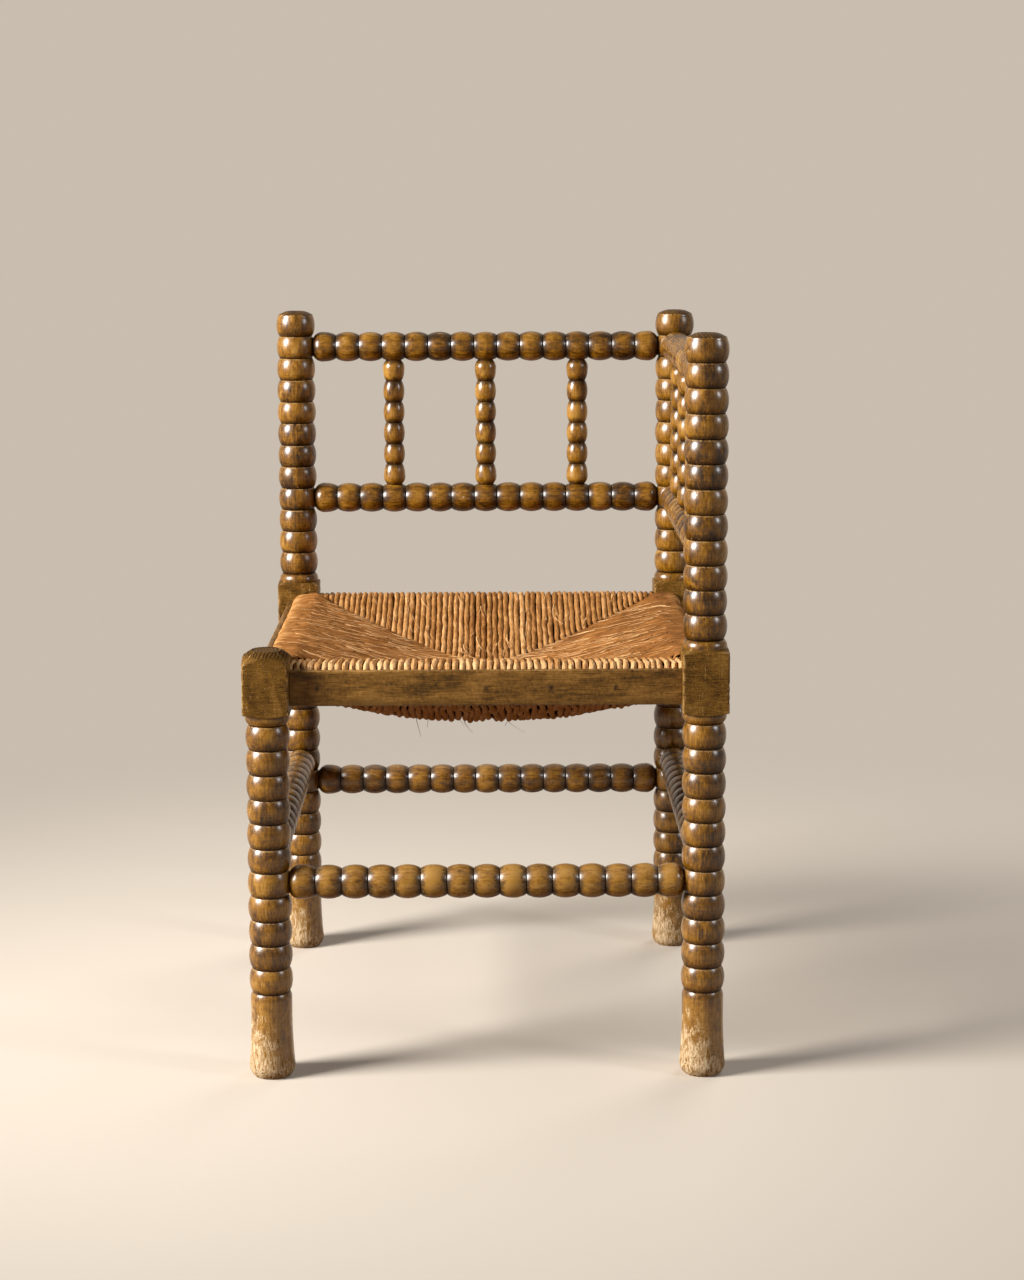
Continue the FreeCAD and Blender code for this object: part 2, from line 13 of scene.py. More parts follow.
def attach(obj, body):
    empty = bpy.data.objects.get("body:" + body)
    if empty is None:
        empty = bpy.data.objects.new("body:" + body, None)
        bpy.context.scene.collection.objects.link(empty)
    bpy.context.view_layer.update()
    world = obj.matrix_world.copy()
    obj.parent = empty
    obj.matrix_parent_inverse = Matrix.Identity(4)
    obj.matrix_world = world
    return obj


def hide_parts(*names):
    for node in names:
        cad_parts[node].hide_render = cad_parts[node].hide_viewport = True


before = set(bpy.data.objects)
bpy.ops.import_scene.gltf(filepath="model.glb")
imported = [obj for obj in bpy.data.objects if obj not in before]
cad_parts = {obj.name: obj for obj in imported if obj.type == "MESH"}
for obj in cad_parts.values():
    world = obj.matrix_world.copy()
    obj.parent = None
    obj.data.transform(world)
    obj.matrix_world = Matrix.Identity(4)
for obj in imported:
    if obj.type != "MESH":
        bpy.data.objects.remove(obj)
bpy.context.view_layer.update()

Colour = tuple[float, float, float]
Triple = tuple[float, float, float]
Point = tuple[float, float]
Layers = dict[str, np.ndarray]

MM = 0.001
SHARP_ANGLE = math.radians(38)
NOISE_ROUGHNESS = 0.58
PITH_AWAY = (24.0, 60.0)
TRUNK_LENGTH = 4000.0
log = logging.getLogger("corner_chair")


class Side(Enum):
    """A side of the chair, by its quarter turns from the front."""

    FRONT = 0
    RIGHT = 1
    BACK = 2
    LEFT = 3

    @property
    def label(self) -> str:
        """The side's name in the CAD nodes."""
        return self.name.lower()

    @property
    def along_x(self) -> bool:
        """True for a side that runs from left to right."""
        return self in (Side.FRONT, Side.BACK)

    def turned(self, points: np.ndarray) -> np.ndarray:
        """Turn points modelled on the front side to this side.

        Args:
            points: An array of points, their coordinates on its last axis.

        Returns:
            The turned points.
        """
        cosine, sine = ((1, 0), (0, 1), (-1, 0), (0, -1))[self.value]
        x, y, z = points[..., 0], points[..., 1], points[..., 2]
        return np.stack([cosine * x - sine * y, sine * x + cosine * y, z], -1)


class Ripple:
    """Smooth seeded noise of about unit spread, as a sum of waves."""

    def __init__(self, rng: np.random.Generator, *lengths: float, waves: int = 6) -> None:
        """Draw the waves.

        Args:
            rng: Source of the random draws.
            lengths: Usual wavelength along each coordinate.
            waves: How many waves are added.
        """
        shares = rng.uniform(0.45, 1.7, (waves, len(lengths))) * rng.choice([-1, 1], (waves, len(lengths)))
        self.waves = shares * 2 * math.pi / np.array(lengths)
        self.phases = rng.uniform(0, 2 * math.pi, waves)

    def __call__(self, *values: np.ndarray) -> np.ndarray:
        """Read the noise.

        Args:
            values: One array for each coordinate.

        Returns:
            The noise at those places.
        """
        total = 0.0
        for wave, phase in zip(self.waves, self.phases):
            total = total + np.sin(sum(k * v for k, v in zip(wave, values)) + phase)
        return total * math.sqrt(2 / len(self.waves))


def smooth(values: np.ndarray, low: float, high: float) -> np.ndarray:
    """A soft step from 0 at low to 1 at high.

    Args:
        values: Where to read the step.
        low: Where it is 0.
        high: Where it is 1.

    Returns:
        The step at those values.
    """
    share = np.clip((np.asarray(values, float) - low) / (high - low), 0, 1)
    return share * share * (3 - 2 * share)


def arc_points(start: Point, middle: Point, end: Point, steps: int) -> np.ndarray:
    """Points of the circle through three points, from start to end, with start left out.

    Args:
        start: First point, as radius and height.
        middle: A point between them.
        end: Last point.
        steps: How many points are made.

    Returns:
        An array of radius and height.
    """
    a, b, c = (np.array(p, float) for p in (start, middle, end))
    spread = 2 * (a[0] * (b[1] - c[1]) + b[0] * (c[1] - a[1]) + c[0] * (a[1] - b[1]))
    squares = [float(p @ p) for p in (a, b, c)]
    centre = np.array([
        squares[0] * (b[1] - c[1]) + squares[1] * (c[1] - a[1]) + squares[2] * (a[1] - b[1]),
        squares[0] * (c[0] - b[0]) + squares[1] * (a[0] - c[0]) + squares[2] * (b[0] - a[0]),
    ]) / spread
    first, second, third = (math.atan2(p[1] - centre[1], p[0] - centre[0]) for p in (a, b, c))
    whole = math.remainder(second - first, 2 * math.pi) + math.remainder(third - second, 2 * math.pi)
    turns = first + whole * np.linspace(0, 1, steps + 1)[1:]
    return centre + np.linalg.norm(a - centre) * np.stack([np.cos(turns), np.sin(turns)], 1)


class Wire:
    """An output socket of a material, with arithmetic that adds Math nodes."""

    def __init__(self, shader: "Shader", socket: bpy.types.NodeSocket) -> None:
        """Keep the socket and the shader that it belongs to."""
        self.shader = shader
        self.socket = socket

    def math(self, operation: str, first: Any, second: Any = 0.0) -> "Wire":
        """Add one Math node.

        Args:
            operation: The node's operation.
            first: Its first value or wire.
            second: Its second value or wire.

        Returns:
            The result.
        """
        return self.shader.node("ShaderNodeMath", {"operation": operation}, {0: first, 1: second})

    def __add__(self, other: Any) -> "Wire":
        """This plus other."""
        return self.math("ADD", self, other)

    def __radd__(self, other: Any) -> "Wire":
        """Other plus this."""
        return self.math("ADD", other, self)

    def __sub__(self, other: Any) -> "Wire":
        """This minus other."""
        return self.math("SUBTRACT", self, other)

    def __rsub__(self, other: Any) -> "Wire":
        """Other minus this."""
        return self.math("SUBTRACT", other, self)

    def __mul__(self, other: Any) -> "Wire":
        """This times other."""
        return self.math("MULTIPLY", self, other)

    def __rmul__(self, other: Any) -> "Wire":
        """Other times this."""
        return self.math("MULTIPLY", other, self)

    def __pow__(self, other: Any) -> "Wire":
        """This to the power of other."""
        return self.math("POWER", self, other)

    def sine(self) -> "Wire":
        """The sine of this."""
        return self.math("SINE", self)

    def step(self, low: float, high: float) -> "Wire":
        """A soft step of this.

        Args:
            low: Where the step is 0.
            high: Where it is 1.

        Returns:
            The step, from 0 to 1.
        """
        return self.shader.node(
            "ShaderNodeMapRange",
            {"interpolation_type": "SMOOTHSTEP"},
            {"Value": self, "From Min": low, "From Max": high},
        )


class Shader:
    """The node tree of one material or world."""

    def __init__(self, owner: bpy.types.Material | bpy.types.World) -> None:
        """Keep the tree and its surface node.

        Args:
            owner: A new material or world.
        """
        owner.use_nodes = True
        self.owner = owner
        self.tree = owner.node_tree
        surface = "Background" if isinstance(owner, bpy.types.World) else "Principled BSDF"
        self.surface = self.tree.nodes[surface]

    def feed(self, socket: bpy.types.NodeSocket, value: Any) -> None:
        """Link a wire to a socket, or set a plain value on it.

        Args:
            socket: The input socket.
            value: A wire, a number, a vector or a colour.
        """
        if isinstance(value, Wire):
            self.tree.links.new(value.socket, socket)
        elif socket.type == "RGBA":
            socket.default_value = (*value, 1.0)
        else:
            socket.default_value = value

    def node(self, kind: str, settings: dict[str, Any] | None = None, inputs: dict[Any, Any] | None = None,
             output: int | str = 0) -> Wire:
        """Add any node.

        Args:
            kind: The node's type.
            settings: Its settings, a ramp's stops among them, which are set first.
            inputs: Values or wires by the name or number of a socket.
            output: Name or number of the output that is wanted.

        Returns:
            The output.
        """
        made = self.tree.nodes.new(kind)
        for name, value in (settings or {}).items():
            if name == "stops":
                for extra in value[2:]:
                    made.color_ramp.elements.new(extra[0])
                for element, (position, colour) in zip(made.color_ramp.elements, value):
                    element.position = position
                    element.color = (*colour, 1.0)
            else:
                setattr(made, name, value)
        for key, value in (inputs or {}).items():
            self.feed(made.inputs[key], value)
        return Wire(self, made.outputs[output])

    def attribute(self, name: str, output: str = "Vector") -> Wire:
        """A point attribute of the mesh, as a vector, or as a number with output Fac."""
        return self.node("ShaderNodeAttribute", {"attribute_name": name}, output=output)

    def split(self, vector: Wire) -> tuple[Wire, Wire, Wire]:
        """The three parts of a vector."""
        parts = self.node("ShaderNodeSeparateXYZ", inputs={0: vector}).socket.node.outputs
        return Wire(self, parts[0]), Wire(self, parts[1]), Wire(self, parts[2])

    def stretch(self, vector: Wire, scale: Triple) -> Wire:
        """A vector with each part multiplied by its own number."""
        return self.node("ShaderNodeVectorMath", {"operation": "MULTIPLY"}, {0: vector, 1: scale})

    def noise(self, vector: Wire, scale: Triple, detail: float = 3.0, distortion: float = 0.0) -> Wire:
        """Noise that is stretched along the axes.

        Args:
            vector: Place on the surface, in metres.
            scale: Waves to the metre along each axis.
            detail: Octaves of finer noise.
            distortion: How much the noise is warped.

        Returns:
            The noise, about 0.5 in the middle.
        """
        return self.node("ShaderNodeTexNoise", None, {
            "Vector": self.stretch(vector, scale), "Scale": 1.0, "Detail": detail,
            "Roughness": NOISE_ROUGHNESS, "Distortion": distortion})

    def vary(self, base: Any, *parts: tuple[Wire, float]) -> Wire:
        """A value that noises move to either side.

        Args:
            base: The value or wire in the middle.
            parts: Each noise, about 0.5 in the middle, with its amount.

        Returns:
            The moved value.
        """
        for noise, amount in parts:
            base = base + (noise - 0.5) * amount
        return base

    def blend(self, share: Wire | float, first: Any, second: Any) -> Wire:
        """Mix two colours.

        Args:
            share: How much of the second.
            first: A colour or wire.
            second: A colour or wire.

        Returns:
            The mixed colour.
        """
        return self.node("ShaderNodeMix", {"data_type": "RGBA", "clamp_factor": True},
                         {0: share, 6: first, 7: second}, output=2)

    def ramp(self, value: Wire, *stops: tuple[float, Colour]) -> Wire:
        """A colour ramp read at a value."""
        return self.node("ShaderNodeValToRGB", {"stops": stops}, {0: value})

    def bump(self, height: Wire, distance: float) -> Wire:
        """A normal from a height of 0 to 1 that stands for a distance in metres."""
        return self.node("ShaderNodeBump", None, {"Height": height, "Distance": distance, "Strength": 1.0})

    def surface_of(self, **values: Any) -> bpy.types.Material | bpy.types.World:
        """Set sockets of the surface.

        Args:
            values: Values or wires by the socket's name, with _ for a space.

        Returns:
            The finished material or world.
        """
        for name, value in values.items():
            self.feed(self.surface.inputs[name.replace("_", " ")], value)
        return self.owner


@dataclass(frozen=True)
class TurnedWood:
    """Old glossy varnish over wood stained golden brown, darker toward the grooves from grime and painted
    shade, pale on bead lips from wear and painted highlight, with grey bloom and painted sheen on upper
    shoulders low down, and worn pale at the feet.
    """

    slot: str = "turned_wood"
    dark: Colour = (0.026, 0.010, 0.001)
    brown: Colour = (0.110, 0.043, 0.002)
    golden: Colour = (0.240, 0.102, 0.004)
    honey: Colour = (0.390, 0.195, 0.030)
    blackish_brown: Colour = (0.014, 0.006, 0.002)
    groove: Colour = (0.008, 0.004, 0.002)
    bare: Colour = (0.760, 0.585, 0.370)
    rubbed_and_lit: Colour = (0.440, 0.262, 0.095)
    olive: Colour = (0.160, 0.076, 0.012)
    tan: Colour = (0.310, 0.164, 0.038)
    dust_and_sheen: Colour = (0.370, 0.290, 0.220)
    ring_width: float = 0.0030
    ring_drift: float = 0.006
    dust_and_sheen_reach: Point = (0.24, 0.38)
    hole_size: Point = (0.030, 0.052)
    hole_grid: Triple = (62.0, 62.0, 62.0)
    hole_patches: Triple = (31.0, 31.0, 31.0)

    def material(self) -> bpy.types.Material:
        """Make the material. It reads the grain place and the marks that each stick carries: wear, grime,
        painted shade and painted highlight.

        Returns:
            The material.
        """
        wood = Shader(bpy.data.materials.new(self.slot))
        place = wood.attribute("grain_place")
        groove, edge, foot = wood.split(wood.attribute("marks"))
        tone, block, rub = wood.split(wood.attribute("parts"))
        end = wood.attribute("end_grain", "Fac")
        lip = wood.attribute("lip", "Fac")
        across, beside, _ = wood.split(place)
        figure = wood.noise(place, (46.0, 46.0, 30.0), 3.0, 1.0)
        flame = wood.noise(place, (150.0, 150.0, 64.0), 3.0, 1.2)
        streak = wood.noise(place, (520.0, 520.0, 14.0), 3.0, 0.2)
        fibre = wood.noise(place, (1900.0, 1900.0, 50.0), 2.0)
        speck = wood.noise(place, (1000.0, 1000.0, 620.0), 3.0)
        fleck = wood.noise(place, (430.0, 430.0, 130.0), 3.0, 0.5)
        lathe = wood.noise(place, (26.0, 26.0, 1300.0), 2.0)
        drift = wood.noise(place, (60.0, 60.0, 14.0), 2.0)
        radius = (across * across + beside * beside) ** 0.5
        rings = ((radius + drift * self.ring_drift) * (2 * math.pi / self.ring_width)).sine()
        shade = wood.vary(0.58, (figure, 1.2), (flame, 0.9), (streak, 0.6), (fibre, 0.7), (lathe, 0.4),
                          (fleck, 0.75), (speck, 0.4))
        # edge * edge darkens each bead smoothly toward its grooves: painted shade.
        shade = shade + rings * 0.04 + tone + foot * 0.12 - edge * edge * 0.18
        colour = wood.ramp(shade, (0.15, self.dark), (0.40, self.brown), (0.68, self.golden),
                           (1.0, self.honey))
        colour = self.dress_block(wood, place, block, figure, speck, colour)
        # Near-black toward the grooves, most under each bead on the posts: grime and painted shade.
        stain = wood.vary(edge, (flame, 1.2), (fleck, 0.9)).step(0.62, 1.04)
        colour = wood.blend(stain * 0.78, colour, self.blackish_brown)
        # Pale on the worn block arrises, and on the upper lip of each bead as wear and painted highlight.
        worn = wood.vary(rub + lip * 0.85, (flame, 1.6), (speck, 1.2)).step(0.48, 0.95)
        colour = wood.blend(worn * 0.68, colour, self.rubbed_and_lit)
        bare = wood.vary(foot, (streak, 1.0), (fleck, 2.6), (speck, 1.8), (flame, 1.8)).step(0.46, 0.76)
        straw = wood.blend(wood.vary(0.38, (streak, 1.8), (fleck, 4.2), (fibre, 2.4)), self.bare, self.golden)
        colour = wood.blend(bare * 0.94, colour, straw)
        colour = wood.blend(end * (0.62 + rings * 0.3 - worn * 0.4), colour, self.blackish_brown)
        # Near-black in the fine quirk of each groove: grime and painted shade.
        colour = wood.blend(groove * 0.75, colour, self.groove)
        # Worm holes painted near-black: painted shade inside the holes.
        worm = self.worm_holes(wood, place)
        colour = wood.blend(worm * 0.95, colour, self.groove)
        rough = wood.vary(0.42, (streak, -0.2), (figure, -0.2))
        rough = rough + bare * 0.3 + groove * 0.25 + end * 0.15 + block * 0.12
        upward = wood.split(wood.node("ShaderNodeNewGeometry", output="Normal"))[2]
        level = wood.split(wood.node("ShaderNodeTexCoord", output="Object"))[2]
        # Pale grey on upward faces low on the chair: dust bloom and painted sheen.
        dust_and_sheen_mask = upward.step(0.15, 0.85) * (1 - level.step(*self.dust_and_sheen_reach)) * (1 - block) * (1 - end)
        colour = wood.blend(dust_and_sheen_mask * wood.vary(0.10, (speck, 0.5), (streak, 0.3)), colour, self.dust_and_sheen)
        clean = upward.step(-0.5, 0.12)
        dulled = bare * 0.76 + groove * 0.7 + block * 0.76 + stain * 0.25 + end * 0.55
        gloss = (0.92 - dulled) * (0.15 + clean * 0.85)
        height = flame * 0.16 + streak * 0.2 + fibre * 0.14 + lathe * 0.1 + bare * speck * 0.7 - worm * 1.5
        return wood.surface_of(Base_Color=colour, Roughness=rough, Normal=wood.bump(height, 0.0002),
                               Coat_Weight=gloss, Coat_Roughness=0.29, Coat_IOR=1.66, Specular_IOR_Level=0.08)

    def worm_holes(self, wood: Shader, place: Wire) -> Wire:
        """Small round holes, in patches.

        Args:
            wood: The material.
            place: Place in the grain.

        Returns:
            1 in a hole and 0 elsewhere.
        """
        away = wood.node("ShaderNodeTexVoronoi", {"feature": "F1"},
                         {"Vector": wood.stretch(place, self.hole_grid), "Scale": 1.0})
        return (1 - away.step(*self.hole_size)) * wood.noise(place, self.hole_patches, 0.0).step(0.57, 0.59)

    def dress_block(self, wood: Shader, place: Wire, block: Wire, figure: Wire, speck: Wire,
                    colour: Wire) -> Wire:
        """Dull and scratch the square blocks.

        Args:
            wood: The material.
            place: Place in the grain.
            block: 1 on the blocks.
            figure: Broad figure of the wood.
            speck: Fine grit.
            colour: The turned wood's colour.

        Returns:
            The colour with the blocks in it.
        """
        scratch = wood.noise(place, (90.0, 90.0, 2200.0), 2.0)
        nick = wood.noise(place, (560.0, 560.0, 24.0), 1.0)
        dull = wood.ramp(wood.vary(0.45, (scratch, 1.3), (figure, 1.4), (speck, 1.1)),
                         (0.05, self.dark), (0.5, self.olive), (0.95, self.tan))
        dull = wood.blend(nick.step(0.68, 0.73) * speck.step(0.38, 0.6) * 0.6, dull, self.rubbed_and_lit)
        return wood.blend(block * 0.92, colour, dull)


@dataclass(frozen=True)
class StripWood:
    """Thin board with a worn satin varnish: olive brown, mottled, scratched, pale on its arrises from wear
    and painted highlight, and darkened round its sunk nails by iron marks and painted shade.
    """

    slot: str = "strip_wood"
    dark: Colour = (0.062, 0.030, 0.006)
    olive: Colour = (0.184, 0.086, 0.017)
    tan: Colour = (0.345, 0.177, 0.043)
    pale: Colour = (0.420, 0.270, 0.125)
    stain: Colour = (0.014, 0.009, 0.005)

    def material(self) -> bpy.types.Material:
        """Make the material. It reads the grain place and the marks that each board carries: darkening round
        the nails, grime low down, and wear and painted highlight on the arrises.

        Returns:
            The material.
        """
        wood = Shader(bpy.data.materials.new(self.slot))
        place = wood.attribute("grain_place")
        nail, low, rub = wood.split(wood.attribute("marks"))
        streak = wood.noise(place, (420.0, 420.0, 22.0), 3.0, 0.5)
        fibre = wood.noise(place, (1300.0, 1300.0, 60.0), 3.0)
        mottle = wood.noise(place, (150.0, 150.0, 75.0), 4.0, 0.9)
        blot = wood.noise(place, (42.0, 42.0, 20.0), 3.0, 0.6)
        scuff = wood.noise(place, (300.0, 300.0, 420.0), 3.0)
        scratch = wood.noise(place, (1500.0, 1500.0, 30.0), 1.0)
        shade = wood.vary(0.5, (streak, 0.55), (fibre, 1.1), (mottle, 0.6), (blot, 1.4), (scuff, 0.8))
        colour = wood.ramp(shade, (0.12, self.dark), (0.48, self.olive), (0.9, self.tan))
        grime = wood.vary(low, (blot, 2.0), (mottle, 1.2)).step(0.6, 1.15)
        colour = wood.blend(grime * 0.5, colour, self.dark)
        # Pale on the arrises: wear and painted highlight.
        worn = wood.vary(rub, (scuff, 1.8), (streak, 1.0)).step(0.55, 0.9)
        colour = wood.blend(worn * 0.55, colour, self.pale)
        nick = scratch.step(0.72, 0.76) * scuff.step(0.45, 0.6)
        colour = wood.blend(nick * 0.45, colour, self.pale)
        # Near-black ring round each sunk nail: iron marks and painted shade of its recess.
        colour = wood.blend(nail * 0.9, colour, self.stain)
        rough = wood.vary(0.46, (mottle, -0.3)) + worn * 0.1
        height = streak * 0.4 + fibre * 0.3 + mottle * 0.4 - nick * 0.6 - nail * 0.8
        return wood.surface_of(Base_Color=colour, Roughness=rough, Normal=wood.bump(height, 0.0004),
                               Coat_Weight=0.12, Coat_Roughness=0.3, Specular_IOR_Level=0.18)


@dataclass(frozen=True)
class SeatRailWood:
    """Bare sawn wood of the rails inside the rush."""

    slot: str = "seat_rail_wood"
    dark: Colour = (0.210, 0.125, 0.055)
    pale: Colour = (0.480, 0.330, 0.175)

    def material(self) -> bpy.types.Material:
        """Make the material, with coarse grain and saw marks.

        Returns:
            The material.
        """
        wood = Shader(bpy.data.materials.new(self.slot))
        place = wood.node("ShaderNodeTexCoord", output="Object")
        grain = wood.noise(place, (90.0, 90.0, 700.0), 4.0, 0.7)
        saw = wood.noise(place, (420.0, 420.0, 60.0), 2.0)
        colour = wood.ramp(grain.step(0.3, 0.7), (0.0, self.dark), (1.0, self.pale))
        return wood.surface_of(Base_Color=colour, Roughness=0.7 + saw * 0.2,
                               Normal=wood.bump(grain * 0.6 + saw * 0.4, 0.0006))


@dataclass(frozen=True)
class RushFinish:
    """Dry twisted rush: tan strands with dark gaps, matted brown where they are worn flat."""

    slot: str = "rush"
    shadow: Colour = (0.022, 0.008, 0.001)
    brown: Colour = (0.230, 0.088, 0.019)
    tan: Colour = (0.490, 0.228, 0.066)
    straw: Colour = (0.775, 0.474, 0.220)
    matted: Colour = (0.440, 0.168, 0.036)
    under: Colour = (0.420, 0.172, 0.034)

    def material(self) -> bpy.types.Material:
        """Make the material. It reads the place along and around each strand, and its marks.

        Returns:
            The material.
        """
        rush = Shader(bpy.data.materials.new(self.slot))
        place = rush.attribute("strand_place")
        crown, under, tone = rush.split(rush.attribute("marks"))
        flat = rush.attribute("matting", "Fac")
        leaf = rush.noise(place, (620.0, 34.0, 1.0), 3.0, 0.3)
        fibre = rush.noise(place, (2600.0, 70.0, 1.0), 3.0)
        patch = rush.noise(place, (120.0, 46.0, 1.0), 3.0, 0.5)
        fray = rush.noise(place, (1500.0, 60.0, 3.0), 2.0, 0.4)
        seat = rush.node("ShaderNodeTexCoord", output="Object")
        pit = rush.noise(seat, (160.0, 90.0, 1.0), 3.0, 1.2)
        blotch = rush.noise(seat, (30.0, 20.0, 1.0), 3.0, 0.6)
        shade = leaf.step(0.35, 0.65) * 0.36 + fibre.step(0.33, 0.67) * 0.28 + patch.step(0.3, 0.7) * 0.36
        shade = shade + tone + flat * (blotch - 0.5) * 1.3
        colour = rush.ramp(shade, (0.0, self.brown), (0.5, self.tan), (1.0, self.straw))
        dull = rush.ramp(shade, (0.1, self.brown), (0.6, self.matted), (1.05, self.tan))
        colour = rush.blend(flat * 0.85, colour, dull)
        colour = rush.blend(flat * fray.step(0.61, 0.72) * blotch.step(0.42, 0.62) * 0.7, colour, self.straw)
        colour = rush.blend(flat * pit.step(0.58, 0.68) * 0.66, colour, self.shadow)
        colour = rush.blend(under * 0.75, colour, self.under)
        colour = rush.blend((1 - crown.step(0.14, 0.80)) * (0.94 - flat * 0.57), colour, self.shadow)
        height = leaf * 0.8 + fibre * 0.5 + flat * (fray * 0.5 - pit * 0.8)
        return rush.surface_of(Base_Color=colour, Roughness=0.66 + fibre * 0.25,
                               Normal=rush.bump(height, 0.0010), Specular_IOR_Level=0.15)


@dataclass(frozen=True)
class StuffingFinish:
    """Loose dry rush ends between the two layers of the seat."""

    slot: str = "stuffing"
    dark: Colour = (0.070, 0.032, 0.011)
    pale: Colour = (0.260, 0.150, 0.062)

    def material(self) -> bpy.types.Material:
        """Make the material.

        Returns:
            The material.
        """
        fill = Shader(bpy.data.materials.new(self.slot))
        place = fill.node("ShaderNodeTexCoord", output="Object")
        chaff = fill.noise(place, (520.0, 520.0, 160.0), 4.0, 1.2)
        lump = fill.noise(place, (90.0, 90.0, 90.0), 3.0)
        colour = fill.ramp(chaff.step(0.3, 0.72) * 0.7 + lump * 0.3, (0.1, self.dark), (0.95, self.pale))
        return fill.surface_of(Base_Color=colour, Roughness=0.85 + lump * 0.1,
                               Normal=fill.bump(chaff + lump * 0.5, 0.0015), Specular_IOR_Level=0.2)


@dataclass(frozen=True)
class NailIron:
    """Old dark iron with brown rust."""

    slot: str = "nail_iron"
    black: Colour = (0.014, 0.011, 0.009)
    rust: Colour = (0.075, 0.036, 0.017)

    def material(self) -> bpy.types.Material:
        """Make the material.

        Returns:
            The material.
        """
        iron = Shader(bpy.data.materials.new(self.slot))
        place = iron.node("ShaderNodeTexCoord", output="Object")
        pit = iron.noise(place, (1400.0, 1400.0, 1400.0), 3.0)
        rust = iron.noise(place, (420.0, 420.0, 420.0), 2.0).step(0.45, 0.62)
        colour = iron.blend(rust, self.black, self.rust)
        return iron.surface_of(Base_Color=colour, Roughness=0.5 + rust * 0.35, Metallic=0.85 - rust * 0.7,
                               Normal=iron.bump(pit, 0.0003))


class GridMesh:
    """Round grids gathered into one mesh, in millimetres, with point attributes."""

    def __init__(self) -> None:
        """Start with nothing."""
        self.points: list[np.ndarray] = []
        self.layers: dict[str, list[np.ndarray]] = {}
        self.quads: list[np.ndarray] = []
        self.triangles: list[np.ndarray] = []
        self.count = 0

    def add_tube(self, points: np.ndarray, layers: Layers) -> None:
        """Add a closed tube of rings with a cap at each end.

        Args:
            points: The rings' points, ring by ring, as an array of rings, places and coordinates.
            layers: Attributes of the same rings and places, numbers or vectors.
        """
        rings, around = points.shape[:2]
        index = np.arange(rings * around).reshape(rings, around) + self.count
        beside = np.roll(index, -1, axis=1)
        self.quads.append(np.stack([index[:-1], beside[:-1], beside[1:], index[1:]], -1).reshape(-1, 4))
        low, high = self.count + rings * around, self.count + rings * around + 1
        self.triangles.append(np.stack([np.full(around, low), beside[0], index[0]], -1))
        self.triangles.append(np.stack([np.full(around, high), index[-1], beside[-1]], -1))
        self.points.append(points.reshape(-1, 3))
        self.points.append(np.stack([points[0].mean(0), points[-1].mean(0)]))
        for name, layer in layers.items():
            flat = layer.reshape(rings * around, -1)
            ends = np.stack([layer[0].reshape(around, -1).mean(0), layer[-1].reshape(around, -1).mean(0)])
            self.layers.setdefault(name, []).append(np.concatenate([flat, ends]))
        self.count += rings * around + 2

    def make(self, name: str, material: bpy.types.Material, slot: str, *nodes: str) -> bpy.types.Object:
        """Make the piece, which rides on the chair and stands for CAD nodes.

        Args:
            name: The piece's name.
            material: Its finish.
            slot: Name of that finish's slot; not used.
            nodes: The CAD nodes that it stands for.

        Returns:
            The new object.
        """
        mesh = bpy.data.meshes.new(name)
        faces = np.concatenate(self.quads).tolist() + np.concatenate(self.triangles).tolist()
        mesh.from_pydata((np.concatenate(self.points) * MM).tolist(), [], faces)
        for layer_name, parts in self.layers.items():
            values = np.concatenate(parts)
            vector = values.shape[1] == 3
            layer = mesh.attributes.new(layer_name, "FLOAT_VECTOR" if vector else "FLOAT", "POINT")
            layer.data.foreach_set("vector" if vector else "value", values.astype(np.float32).ravel())
        mesh.shade_smooth()
        mesh.set_sharp_from_angle(angle=SHARP_ANGLE)
        mesh.materials.append(material)
        piece = bpy.data.objects.new(name, mesh)
        bpy.context.scene.collection.objects.link(piece)
        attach(piece, "root")
        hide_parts(*nodes)
        log.info("%s: %d points", name, self.count)
        return piece


